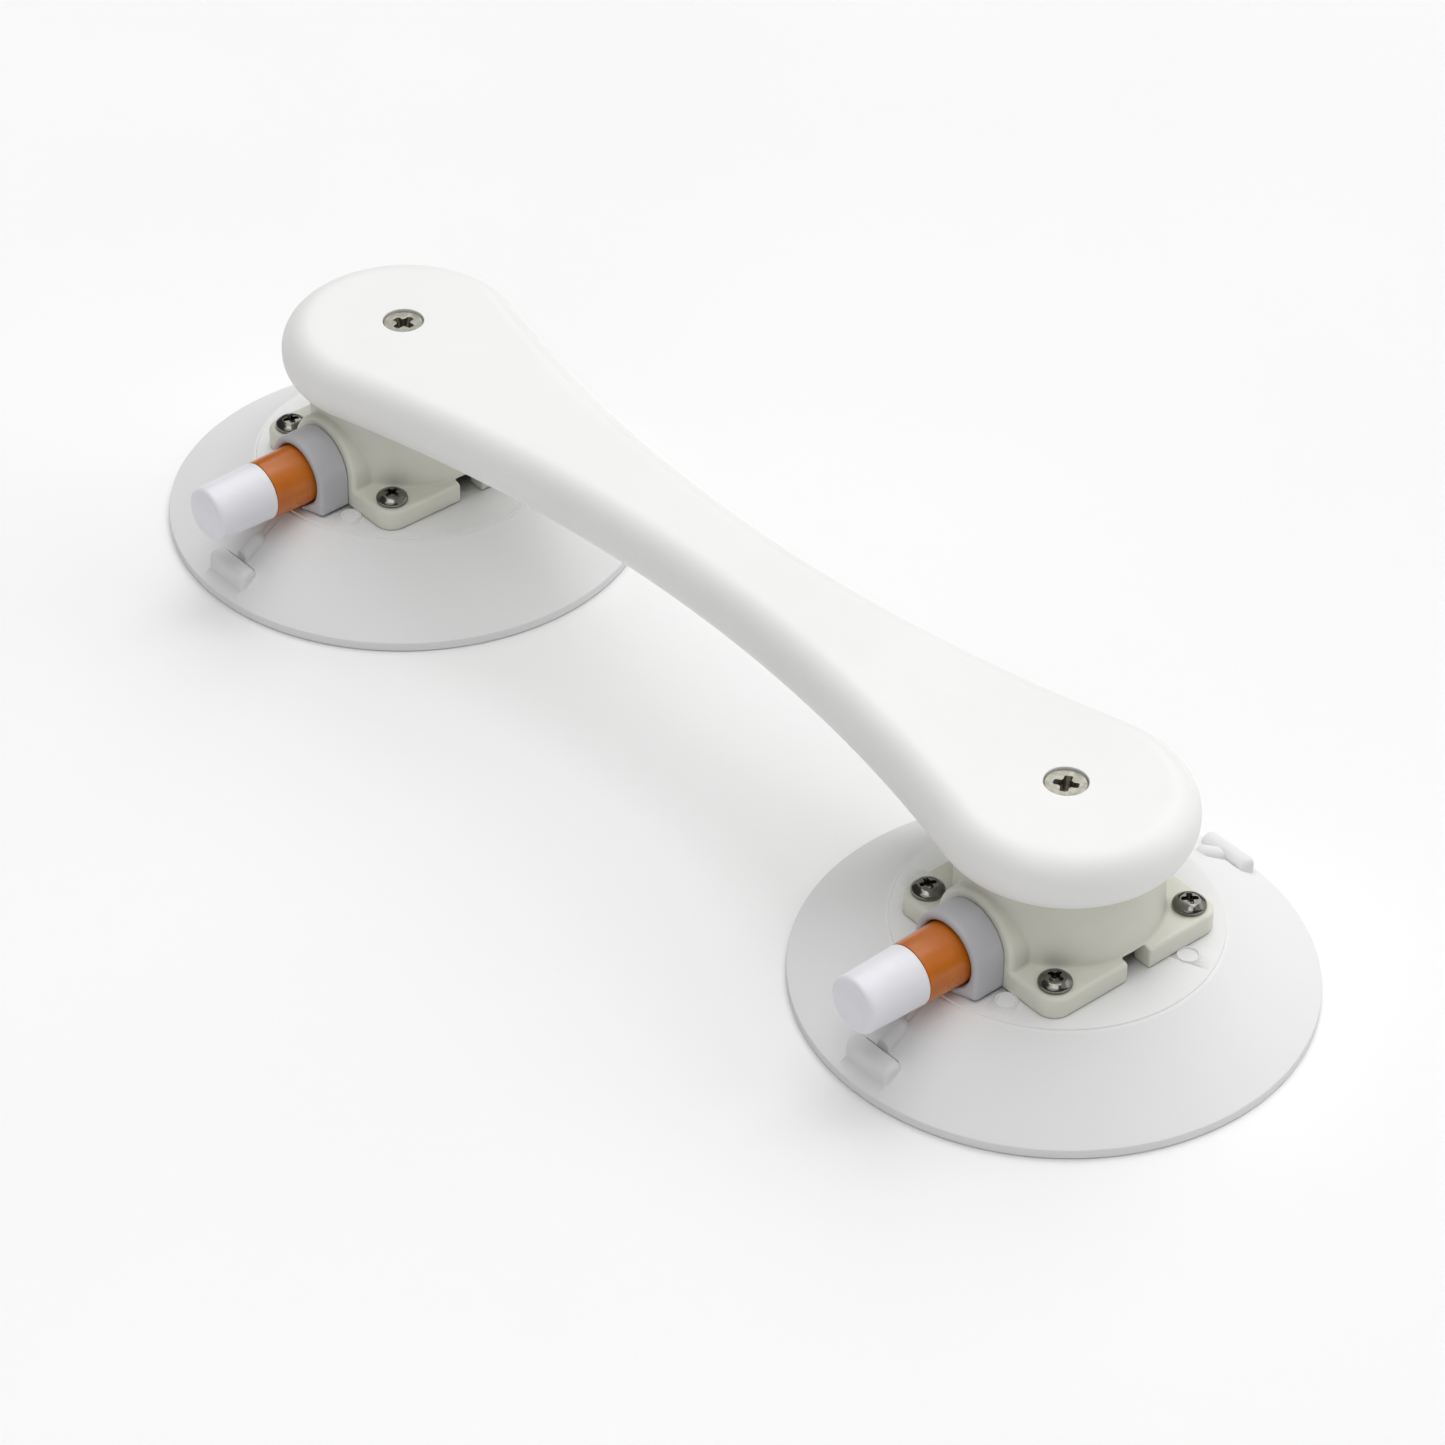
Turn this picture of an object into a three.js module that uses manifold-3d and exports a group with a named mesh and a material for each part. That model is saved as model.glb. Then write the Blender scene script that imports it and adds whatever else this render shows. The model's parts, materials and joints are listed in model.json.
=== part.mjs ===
// Suction grab bar: a rounded plastic bar screwed to two hand-pumped vacuum cups.
// Millimetres, +Z up. The origin lies on the mounting surface, midway between the two cups.
// +X runs along the bar, and both pump plungers point towards -Y.
import * as THREE from "three";
import { mergeVertices } from "three/addons/utils/BufferGeometryUtils.js";
import Module from "manifold-3d";

const wasm = await Module();
wasm.setup();

// ---- Driving dimensions ----
const INCH = 25.4;
const GAP = 0.3; // between pieces that touch in the real object
const SEAT_GAP = 0.2; // under the clamped flange and the screw heads

const CUP_PITCH = 11.75 * INCH;
const CUP_RADIUS = 3 * INCH;
const RIM_HEIGHT = 3.2;
const SEAL_LAND = 2.8; // width of the flat ring that rests on the surface
const PAD_RADIUS = 47.8; // raised flat pad in the middle of the cup
const PAD_TOP = 22.2;
const PAD_UNDERSIDE = 15.6;

const BAR_END_RADIUS = 1.5 * INCH;
const BAR_THICKNESS = 0.75 * INCH;
const BAR_TOP = 71.5;
const BAR_WAIST_HALF_WIDTH = 16.9;
const BAR_EDGE_ROUND = 9.2;
const BAR_BASE = BAR_TOP - BAR_THICKNESS;

const FLANGE_HALF = 32.7;
const FLANGE_CORNER = 6;
const FLANGE_THICKNESS = 6.8;
const FLANGE_EDGE_ROUND = 1.2;
const FLANGE_BASE = PAD_TOP + SEAT_GAP;
const FLANGE_TOP = FLANGE_BASE + FLANGE_THICKNESS;
const BOSS_RADIUS = 30;
const BOSS_FILLET = 2;
const BOSS_TOP = BAR_BASE - GAP;
const CORE_RADIUS = 26.6; // hollow inside the boss, open underneath
const CORE_CEILING = 47.4;
const NOTCH_WIDTH = 8.6;
const NOTCH_HEIGHT = 6.9;

const PUMP_AXIS_Z = 32.5; // height of the pump bore, which runs along Y
const BORE_RADIUS = 10.6;
const BORE_END_Y = 13.5;
const BARREL_RADIUS = 15.3;
const BARREL_END_Y = 17;
const MOUTH_Y = -FLANGE_HALF; // the barrel ends flush with the front of the flange
const MOUTH_ROUND = 1.5;
const KEEL_HALF_WIDTH = 9;
const KEEL_BASE = 18.9; // the barrel's underside reaches down into the rubber pad

const COLLAR_RADIUS = 12.7;
const COLLAR_DEPTH = 10.5;
const COLLAR_BORE_RADIUS = 10.1;
const COLLAR_CORNER_Z = 23.1;
const COLLAR_TOE_Z = 22.5;
const COLLAR_TOE_HALF_WIDTH = 4.4;
const COLLAR_FOOT_REACH = 1.6; // how far the middle of the foot stands out in front
const COLLAR_FOOT_HEIGHT = 3;
const COLLAR_EDGE_ROUND = 0.8;
const SPIGOT_RADIUS = 11.6;
const SPIGOT_LENGTH = 2.5;

const PLUNGER_TIP_Y = -78.3;
const PLUNGER_TIP_RADIUS = 8.8;
const PLUNGER_TIP_ROUND = 2;
const BAND_FRONT_Y = -57.1;
const BAND_REAR_Y = -33;
const BAND_FRONT_RADIUS = 9.3;
const BAND_REAR_RADIUS = 9.6;
const BAND_WALL = 1;
const HEAD_RADIUS = 10.4;
const HEAD_FRONT_Y = -29.7;
const HEAD_REAR_Y = -23.7;
const SEAL_GROOVE_RADIUS = 8;
const SEAL_FRONT_Y = -28.2;
const SEAL_REAR_Y = -25.2;

const SPRING_POCKET_RADIUS = 6.6;
const SPRING_POCKET_END_Y = -54;
const SPRING_RADIUS = 5.5; // of the wire's centre line
const SPRING_WIRE_RADIUS = 0.6;
const SPRING_TURNS = 8;

const VALVE_Y = 9;
const VALVE_CAP_RADIUS = 3.8;
const VALVE_SEAT_Z = 22.7;
const VALVE_STEM_RADIUS = 1.2;

const PLATE_RADIUS = 43;
const PLATE_THICKNESS = 2.5;
const PLATE_TOP = PAD_UNDERSIDE - SEAT_GAP;
const PLATE_BASE = PLATE_TOP - PLATE_THICKNESS;
const PORT_RADIUS = 3.2;
const FILTER_RADIUS = 6;
const FILTER_THICKNESS = 0.8;

const FLANGE_SCREW_OFFSET = 26; // the four screws stand on a 52 mm square
const FLANGE_SCREW_HEAD_RADIUS = 5;
const FLANGE_SCREW_HEAD_HEIGHT = 3;
const FLANGE_SCREW_SHANK_RADIUS = 2;
const FLANGE_SCREW_TIP_Z = PLATE_BASE + 0.1;

const BAR_SCREW_TOP = BAR_TOP - 0.8;
const BAR_SCREW_HEAD_RADIUS = 6.1;
const BAR_SCREW_SHANK_RADIUS = 3.1;
const BAR_SCREW_LENGTH = 25.7;
const BAR_RECESS_RADIUS = 6.4;
const COUNTERSINK_HALF_ANGLE = THREE.MathUtils.degToRad(41);
const INSERT_RADIUS = 4.8;
const INSERT_BORE_RADIUS = 3.3;
const INSERT_BASE = 44.9;

const TAB_RADIUS = 69.2; // distance of a pull tab's cross-bar from the cup's centre
const TAB_LENGTH = 17.6;
const TAB_HEIGHT = 8.4; // of the cross-bar's centre line
const TAB_BAR_RADIUS = 3;
const TAB_STEM_RADIUS = 2.4;
const TAB_STEM_START = 59; // where the stem's round end stands on the cone

// ---- Finishes ----
const finish = (color, roughness, metalness = 0) => ({ color, roughness, metalness });
const FINISHES = {
  barPlastic: finish(0xf3f3f2, 0.4),
  rubber: finish(0xdededf, 0.55),
  housingPlastic: finish(0xe4e5d8, 0.45),
  collarPlastic: finish(0xc9c9ce, 0.5),
  plungerPlastic: finish(0xeeeef2, 0.4),
  indicatorOrange: finish(0xc9731a, 0.4),
  sealRubber: finish(0x2a2a2c, 0.6),
  springSteel: finish(0xa7a9ab, 0.35, 1),
  screwSteel: finish(0x8e8d86, 0.25, 1),
  brass: finish(0xb9923f, 0.35, 1),
  plateSteel: finish(0xa9abad, 0.4, 1),
  filterFelt: finish(0x8b8d8c, 0.95),
};

// ---- Making solids ----

// A closed three.js geometry as a solid that can be joined and cut.
function solid(geometry) {
  const bare = geometry.index ? geometry.toNonIndexed() : geometry.clone();
  bare.deleteAttribute("normal");
  bare.deleteAttribute("uv");
  const merged = mergeVertices(bare, 1e-4);
  return new wasm.Manifold(
    new wasm.Mesh({
      numProp: 3,
      vertProperties: merged.attributes.position.array,
      triVerts: new Uint32Array(merged.index.array),
    }),
  );
}

// The solid as a three.js geometry with flat-shaded normals.
function geometryOf(body) {
  const { vertProperties, triVerts } = body.getMesh();
  const indexed = new THREE.BufferGeometry();
  indexed.setAttribute("position", new THREE.BufferAttribute(vertProperties, 3));
  indexed.setIndex(new THREE.BufferAttribute(triVerts, 1));
  const flat = indexed.toNonIndexed();
  flat.computeVertexNormals();
  return flat;
}

const joined = (first, ...others) => others.reduce((whole, other) => whole.add(other), first);
const cut = (whole, ...cutters) => cutters.reduce((rest, cutter) => rest.subtract(cutter), whole);

// A profile of [radius, height] points, anticlockwise, turned about Z.
function turned(profile, segments = 24) {
  const points = profile.map(([radius, height]) => new THREE.Vector2(radius, height));
  return new THREE.LatheGeometry(points, segments).rotateX(Math.PI / 2);
}

// A profile of [radius, y] points turned about the pump's axis, which runs along Y.
function turnedOnPump(profile, segments = 24) {
  const points = profile.map(([radius, y]) => new THREE.Vector2(radius, y));
  return new THREE.LatheGeometry(points, segments).translate(0, 0, PUMP_AXIS_Z);
}

function rod(radius, base, top, segments = 16) {
  return turned([[0, base], [radius, base], [radius, top], [0, top]], segments);
}

function pumpRod(radius, rear, front, segments = 24) {
  const low = Math.min(rear, front);
  const high = Math.max(rear, front);
  return turnedOnPump([[0, low], [radius, low], [radius, high], [0, high]], segments);
}

function block(xLow, xHigh, yLow, yHigh, zLow, zHigh) {
  const box = new THREE.BoxGeometry(xHigh - xLow, yHigh - yLow, zHigh - zLow);
  return box.translate((xLow + xHigh) / 2, (yLow + yHigh) / 2, (zLow + zHigh) / 2);
}

// An outline in X and Y pressed upwards from base to top, its edges rounded by round.
function pressedUp(outline, base, top, { round = 0, steps = 2, curveSegments = 3 } = {}) {
  const depth = top - base - 2 * round;
  const bevel = { bevelEnabled: round > 0, bevelThickness: round, bevelSize: round, bevelOffset: -round };
  const settings = { depth, curveSegments, bevelSegments: steps, ...bevel };
  return new THREE.ExtrudeGeometry(outline, settings).translate(0, 0, base + round);
}

// An outline in X and Z pressed towards -Y, from y = rear to y = front.
function pressedForward(outline, rear, front, { round = 0, steps = 2, curveSegments = 6 } = {}) {
  const raised = pressedUp(outline, 0, rear - front, { round, steps, curveSegments });
  return raised.rotateX(Math.PI / 2).translate(0, rear, 0);
}

function roundedRectangle(halfWidth, halfHeight, corner) {
  const shape = new THREE.Shape();
  const corners = [[1, -1], [1, 1], [-1, 1], [-1, -1]];
  corners.forEach(([x, y], i) => {
    const start = (i - 1) * (Math.PI / 2);
    const centreX = x * (halfWidth - corner);
    const centreY = y * (halfHeight - corner);
    shape.absarc(centreX, centreY, corner, start, start + Math.PI / 2, false);
  });
  shape.closePath();
  return shape;
}

// A round arch over the pump's axis, with straight sides down to the height base.
function archOutline(radius, base) {
  const shape = new THREE.Shape();
  shape.moveTo(radius, base);
  shape.absarc(0, PUMP_AXIS_Z, radius, 0, Math.PI, false);
  shape.lineTo(-radius, base);
  shape.closePath();
  return shape;
}

// Adds one named piece to a group, with its own material.
function addPiece(group, name, geometry, look) {
  const mesh = new THREE.Mesh(geometry, new THREE.MeshStandardMaterial(look));
  mesh.name = name;
  group.add(mesh);
}

// ---- The bar ----

// A dog-bone outline: two round ends joined by wide hollow arcs that are tangent to them.
function barOutline() {
  const reach = CUP_PITCH / 2;
  const narrowing = BAR_END_RADIUS - BAR_WAIST_HALF_WIDTH;
  const waistRadius =
    (reach ** 2 + BAR_WAIST_HALF_WIDTH ** 2 - BAR_END_RADIUS ** 2) / (2 * narrowing);
  const waistCentre = BAR_WAIST_HALF_WIDTH + waistRadius;
  const lean = Math.atan2(waistCentre, -reach); // where an end's arc meets a waist arc
  const half = Math.PI / 2 - Math.atan2(waistCentre, reach);
  const shape = new THREE.Shape();
  shape.absarc(reach, 0, BAR_END_RADIUS, -lean, lean, false);
  shape.absarc(0, waistCentre, waistRadius, -Math.PI / 2 + half, -Math.PI / 2 - half, true);
  shape.absarc(-reach, 0, BAR_END_RADIUS, Math.PI - lean, Math.PI + lean, false);
  shape.absarc(0, -waistCentre, waistRadius, Math.PI / 2 + half, Math.PI / 2 - half, true);
  shape.closePath();
  return shape;
}

// How far a countersunk head tapers before it meets its shank.
function countersinkDepth(headRadius, shankRadius) {
  return (headRadius - shankRadius) / Math.tan(COUNTERSINK_HALF_ANGLE);
}

// The stepped hole for a bar screw: straight recess, countersink, clearance hole.
function barScrewHole() {
  const shankHole = BAR_SCREW_SHANK_RADIUS + GAP;
  const seatTop = BAR_SCREW_TOP - GAP - 0.5;
  const coneFoot = seatTop - countersinkDepth(BAR_RECESS_RADIUS, shankHole);
  return turned([
    [0, BAR_BASE - 1],
    [shankHole, BAR_BASE - 1],
    [shankHole, coneFoot],
    [BAR_RECESS_RADIUS, seatTop],
    [BAR_RECESS_RADIUS, BAR_TOP + 1],
    [0, BAR_TOP + 1],
  ]);
}

function makeBar() {
  const looks = { round: BAR_EDGE_ROUND, steps: 3, curveSegments: 7 };
  const board = solid(pressedUp(barOutline(), BAR_BASE, BAR_TOP, looks));
  const hole = solid(barScrewHole());
  const reach = CUP_PITCH / 2;
  return geometryOf(cut(board, hole.translate([-reach, 0, 0]), hole.translate([reach, 0, 0])));
}

// ---- Screws ----

// A cross-shaped driver recess, sunk from the height top.
function crossRecess(top, span, width, depth) {
  const arm = (x, y) => solid(block(-x / 2, x / 2, -y / 2, y / 2, top - depth, top + 1));
  return joined(arm(span, width), arm(width, span));
}

function makeBarScrew() {
  const rimBase = BAR_SCREW_TOP - 0.5;
  const coneFoot = rimBase - countersinkDepth(BAR_SCREW_HEAD_RADIUS, BAR_SCREW_SHANK_RADIUS);
  const tip = BAR_SCREW_TOP - BAR_SCREW_LENGTH;
  const body = solid(
    turned([
      [0, tip],
      [BAR_SCREW_SHANK_RADIUS - 0.5, tip],
      [BAR_SCREW_SHANK_RADIUS, tip + 0.6],
      [BAR_SCREW_SHANK_RADIUS, coneFoot],
      [BAR_SCREW_HEAD_RADIUS, rimBase],
      [BAR_SCREW_HEAD_RADIUS, BAR_SCREW_TOP],
      [0, BAR_SCREW_TOP],
    ]),
  );
  return geometryOf(cut(body, crossRecess(BAR_SCREW_TOP, 6.6, 1.5, 2.6)));
}

// A pan-head screw: a shallow dome over a short straight rim.
function makeFlangeScrew() {
  const seat = FLANGE_TOP + SEAT_GAP;
  const top = seat + FLANGE_SCREW_HEAD_HEIGHT;
  const body = solid(
    turned(
      [
        [0, FLANGE_SCREW_TIP_Z],
        [FLANGE_SCREW_SHANK_RADIUS, FLANGE_SCREW_TIP_Z],
        [FLANGE_SCREW_SHANK_RADIUS, seat],
        [FLANGE_SCREW_HEAD_RADIUS, seat],
        [FLANGE_SCREW_HEAD_RADIUS, seat + 1],
        [FLANGE_SCREW_HEAD_RADIUS - 1, seat + 2.2],
        [FLANGE_SCREW_HEAD_RADIUS - 2.6, seat + 2.8],
        [0, top],
      ],
      12,
    ),
  );
  return geometryOf(cut(body, crossRecess(top, 5.2, 1.1, 2)));
}

// ---- The cup and what is clamped under it ----

// A round-ended rod along Z, from 0 to its length.
function roundEndedRod(radius, length) {
  const shoulder = radius * 0.35;
  return turned(
    [
      [0, 0],
      [radius - shoulder, 0],
      [radius, shoulder],
      [radius, length - shoulder],
      [radius - shoulder, length],
      [0, length],
    ],
    12,
  );
}

// One pull tab towards +Y: a round cross-bar near the rim, and a stem that runs up the cone.
function pullTab() {
  const bar = roundEndedRod(TAB_BAR_RADIUS, TAB_LENGTH).translate(0, 0, -TAB_LENGTH / 2);
  bar.rotateY(Math.PI / 2).translate(0, TAB_RADIUS, TAB_HEIGHT);
  const halfLength = TAB_LENGTH / 2 - 0.4;
  const [inner, outer] = [TAB_RADIUS - TAB_BAR_RADIUS + 0.2, TAB_RADIUS + TAB_BAR_RADIUS - 0.2];
  const root = block(-halfLength, halfLength, inner, outer, RIM_HEIGHT - 1, TAB_HEIGHT);
  const slope = Math.atan2(PAD_TOP - RIM_HEIGHT, CUP_RADIUS - PAD_RADIUS);
  const stemLength = (TAB_RADIUS - TAB_STEM_START) / Math.cos(slope) + TAB_STEM_RADIUS;
  const surface = RIM_HEIGHT + (CUP_RADIUS - TAB_STEM_START) * Math.tan(slope);
  const stem = roundEndedRod(TAB_STEM_RADIUS, stemLength).translate(0, 0, -TAB_STEM_RADIUS);
  stem.rotateX(-Math.PI / 2 - slope).translate(0, TAB_STEM_START, surface);
  return cut(joined(solid(bar), solid(root), solid(stem)), solid(cupChamber()));
}

// The hollow under the cup, from below the surface it rests on to the pad.
function cupChamber() {
  const mouth = CUP_RADIUS - 0.4 - SEAL_LAND;
  const ceiling = [[PAD_RADIUS - 1, PAD_UNDERSIDE], [0, PAD_UNDERSIDE]];
  return turned([[0, -1], [mouth, -1], [mouth, 0], ...ceiling], 48);
}

function makeCup() {
  const cone = solid(
    turned(
      [
        [0, PAD_UNDERSIDE],
        [PAD_RADIUS - 1, PAD_UNDERSIDE],
        [CUP_RADIUS - 0.4 - SEAL_LAND, 0],
        [CUP_RADIUS - 0.4, 0],
        [CUP_RADIUS, 0.4],
        [CUP_RADIUS, RIM_HEIGHT - 0.5],
        [CUP_RADIUS - 0.6, RIM_HEIGHT + 0.3],
        [PAD_RADIUS + 0.5, PAD_TOP - 0.4],
        [PAD_RADIUS - 0.6, PAD_TOP],
        [0, PAD_TOP],
      ],
      48,
    ),
  );
  const front = pullTab().rotate([0, 0, 180]);
  const pocketFloor = KEEL_BASE - GAP;
  const pocketHalf = KEEL_HALF_WIDTH + GAP;
  const pocketRear = BARREL_END_Y + GAP;
  const pocketFront = -FLANGE_HALF + 1;
  const pocket = block(-pocketHalf, pocketHalf, pocketFront, pocketRear, pocketFloor, PAD_TOP + 1);
  const port = rod(PORT_RADIUS, PAD_UNDERSIDE - 1, PAD_TOP + 1).translate(0, VALVE_Y, 0);
  const holes = flangeScrewSpots().map(([x, y]) =>
    solid(rod(FLANGE_SCREW_SHANK_RADIUS + GAP, PAD_UNDERSIDE - 1, PAD_TOP + 1, 10).translate(x, y, 0)),
  );
  return geometryOf(cut(joined(cone, pullTab(), front), solid(pocket), solid(port), ...holes));
}

// The stiff disc inside the cup that the flange screws pull against.
function makeBackingPlate() {
  const chamfer = 0.6;
  const disc = solid(
    turned(
      [
        [0, PLATE_BASE],
        [PLATE_RADIUS - chamfer, PLATE_BASE],
        [PLATE_RADIUS, PLATE_BASE + chamfer],
        [PLATE_RADIUS, PLATE_TOP],
        [0, PLATE_TOP],
      ],
      32,
    ),
  );
  const port = rod(PORT_RADIUS, PLATE_BASE - 1, PLATE_TOP + 1).translate(0, VALVE_Y, 0);
  const seat = PLATE_BASE + FILTER_THICKNESS + 2 * SEAT_GAP;
  const filterSeat = rod(FILTER_RADIUS + SEAT_GAP, PLATE_BASE - 1, seat).translate(0, VALVE_Y, 0);
  const threads = flangeScrewSpots().map(([x, y]) =>
    solid(rod(FLANGE_SCREW_SHANK_RADIUS + 0.15, PLATE_BASE - 1, PLATE_TOP + 1, 10).translate(x, y, 0)),
  );
  return geometryOf(cut(disc, solid(port), solid(filterSeat), ...threads));
}

function makeInletFilter() {
  const base = PLATE_BASE + SEAT_GAP;
  return rod(FILTER_RADIUS, base, base + FILTER_THICKNESS).translate(0, VALVE_Y, 0);
}

// ---- The pump housing ----

function flangeScrewSpots() {
  const side = FLANGE_SCREW_OFFSET;
  return [[side, -side], [side, side], [-side, side], [-side, -side]];
}

// Everything inside the boss that the hollow leaves standing: pump barrel, screw post, ribs.
function housingCore() {
  const barrel = pressedForward(archOutline(BARREL_RADIUS - 1, FLANGE_BASE), BARREL_END_Y, -CORE_RADIUS);
  const post = rod(INSERT_RADIUS + 3, PUMP_AXIS_Z, BOSS_TOP - 1);
  const spine = block(-1.2, 1.2, 0, BOSS_RADIUS - 1, FLANGE_BASE, BOSS_TOP - 1);
  return joined(solid(barrel), solid(post), solid(spine));
}

function housingShell() {
  const flangeOutline = roundedRectangle(FLANGE_HALF, FLANGE_HALF, FLANGE_CORNER);
  const topHalf = pressedUp(flangeOutline, FLANGE_BASE, FLANGE_TOP, { round: FLANGE_EDGE_ROUND });
  const bottomHalf = pressedUp(flangeOutline, FLANGE_BASE, FLANGE_BASE + FLANGE_THICKNESS / 2);
  const boss = turned(
    [
      [0, FLANGE_BASE],
      [BOSS_RADIUS + BOSS_FILLET, FLANGE_BASE],
      [BOSS_RADIUS + BOSS_FILLET, FLANGE_TOP],
      [BOSS_RADIUS + BOSS_FILLET * 0.3, FLANGE_TOP + BOSS_FILLET * 0.3],
      [BOSS_RADIUS, FLANGE_TOP + BOSS_FILLET],
      [BOSS_RADIUS, BOSS_TOP],
      [0, BOSS_TOP],
    ],
    32,
  );
  const hollow = solid(rod(CORE_RADIUS, FLANGE_BASE - 1, CORE_CEILING, 24));
  const shell = joined(solid(topHalf), solid(bottomHalf), solid(boss));
  return cut(shell, cut(hollow, housingCore()));
}

// The barrel's mouth: it runs forward out of the boss, and down into the pad as a keel.
function housingMouth() {
  const outline = archOutline(BARREL_RADIUS, FLANGE_BASE);
  const rounding = { round: MOUTH_ROUND, steps: 3 };
  const barrel = pressedForward(outline, -BOSS_RADIUS / 2, MOUTH_Y, rounding);
  const keelFront = -FLANGE_HALF + 1 + GAP;
  const keelSides = [-KEEL_HALF_WIDTH, KEEL_HALF_WIDTH];
  const keel = block(...keelSides, keelFront, BARREL_END_Y, KEEL_BASE, FLANGE_BASE + 1);
  return joined(solid(barrel), solid(keel));
}

// The pump bore, with a flat floor at its end where the check valve sits.
function pumpBore() {
  const bore = solid(pumpRod(BORE_RADIUS, BORE_END_Y, MOUTH_Y - 1));
  const floorFront = VALVE_Y - VALVE_CAP_RADIUS - 0.4;
  const floor = block(-8, 8, floorFront, BORE_END_Y + 1, PUMP_AXIS_Z - 15, VALVE_SEAT_Z);
  const spigotRear = MOUTH_Y + SPIGOT_LENGTH + GAP;
  const socket = solid(pumpRod(SPIGOT_RADIUS + 0.15, spigotRear, MOUTH_Y - 1));
  return joined(cut(bore, solid(floor)), socket);
}

// The holes under the check valve: its stem's hole, with air holes round it.
function valveHoles() {
  const stem = solid(rod(VALVE_STEM_RADIUS + 0.25, KEEL_BASE - 1, VALVE_SEAT_Z + 1, 12));
  const airHoles = [0, 1, 2, 3].map((i) => {
    const angle = Math.PI / 4 + (i * Math.PI) / 2;
    const hole = rod(0.6, KEEL_BASE - 1, VALVE_SEAT_Z + 1, 10);
    return solid(hole.translate(2.4 * Math.cos(angle), 2.4 * Math.sin(angle), 0));
  });
  return joined(stem, ...airHoles).translate([0, VALVE_Y, 0]);
}

function makeHousing() {
  const insertHole = solid(rod(INSERT_RADIUS + 0.15, INSERT_BASE - GAP, BOSS_TOP + 1));
  const notch = solid(
    block(CORE_RADIUS - 4, FLANGE_HALF + 1, -NOTCH_WIDTH / 2, NOTCH_WIDTH / 2,
      FLANGE_BASE - 1, FLANGE_BASE + NOTCH_HEIGHT),
  );
  const screwHoles = flangeScrewSpots().map(([x, y]) =>
    solid(rod(FLANGE_SCREW_SHANK_RADIUS + GAP, FLANGE_BASE - 1, FLANGE_TOP + 1, 10).translate(x, y, 0)),
  );
  const whole = joined(housingShell(), housingMouth());
  const cutters = [pumpBore(), valveHoles(), insertHole, notch, notch.rotate([0, 0, 180])];
  return geometryOf(cut(whole, ...cutters, ...screwHoles));
}

function makeThreadedInsert() {
  return turned([
    [INSERT_BORE_RADIUS, INSERT_BASE],
    [INSERT_RADIUS, INSERT_BASE],
    [INSERT_RADIUS, BOSS_TOP],
    [INSERT_BORE_RADIUS, BOSS_TOP],
    [INSERT_BORE_RADIUS, INSERT_BASE],
  ], 16);
}

// ---- The pump ----

// The middle of the collar's foot, which reaches forward over the edge of the pad.
function collarFoot(front) {
  const halfBack = COLLAR_RADIUS - 1;
  const tip = front - COLLAR_FOOT_REACH;
  const outline = new THREE.Shape();
  outline.moveTo(-halfBack, front + 1);
  outline.lineTo(-COLLAR_TOE_HALF_WIDTH, tip);
  outline.lineTo(COLLAR_TOE_HALF_WIDTH, tip);
  outline.lineTo(halfBack, front + 1);
  outline.closePath();
  const foot = pressedUp(outline, COLLAR_TOE_Z, COLLAR_TOE_Z + COLLAR_FOOT_HEIGHT);
  return cut(solid(foot), solid(pumpRod(COLLAR_BORE_RADIUS, front + 2, tip - 1)));
}

// The collar that closes the barrel's mouth: an arch with a sloping foot, open below.
function makeCollar() {
  const outline = new THREE.Shape();
  outline.moveTo(COLLAR_RADIUS, COLLAR_CORNER_Z);
  outline.absarc(0, PUMP_AXIS_Z, COLLAR_RADIUS, 0, Math.PI, false);
  outline.lineTo(-COLLAR_RADIUS, COLLAR_CORNER_Z);
  outline.lineTo(-COLLAR_TOE_HALF_WIDTH, COLLAR_TOE_Z);
  outline.lineTo(COLLAR_TOE_HALF_WIDTH, COLLAR_TOE_Z);
  outline.closePath();
  const rear = MOUTH_Y - GAP / 2;
  const front = MOUTH_Y - COLLAR_DEPTH - GAP;
  const rounded = pressedForward(outline, rear, front, { round: COLLAR_EDGE_ROUND });
  const square = pressedForward(outline, rear, (rear + front) / 2);
  const spigotRear = MOUTH_Y + SPIGOT_LENGTH;
  const spigot = pumpRod(SPIGOT_RADIUS, spigotRear, rear - 1);
  const openFoot = block(-SPIGOT_RADIUS, SPIGOT_RADIUS, rear - 2, spigotRear + 1, 0, COLLAR_TOE_Z);
  const bore = pumpRod(COLLAR_BORE_RADIUS, spigotRear + 1, front - 1);
  const mouth = turnedOnPump([
    [0, front - 1],
    [COLLAR_BORE_RADIUS + 1.2, front - 1],
    [COLLAR_BORE_RADIUS, front + 0.6],
    [0, front + 0.6],
  ]);
  const body = joined(solid(rounded), solid(square), cut(solid(spigot), solid(openFoot)));
  return geometryOf(joined(cut(body, solid(bore), solid(mouth)), collarFoot(front)));
}

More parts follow.
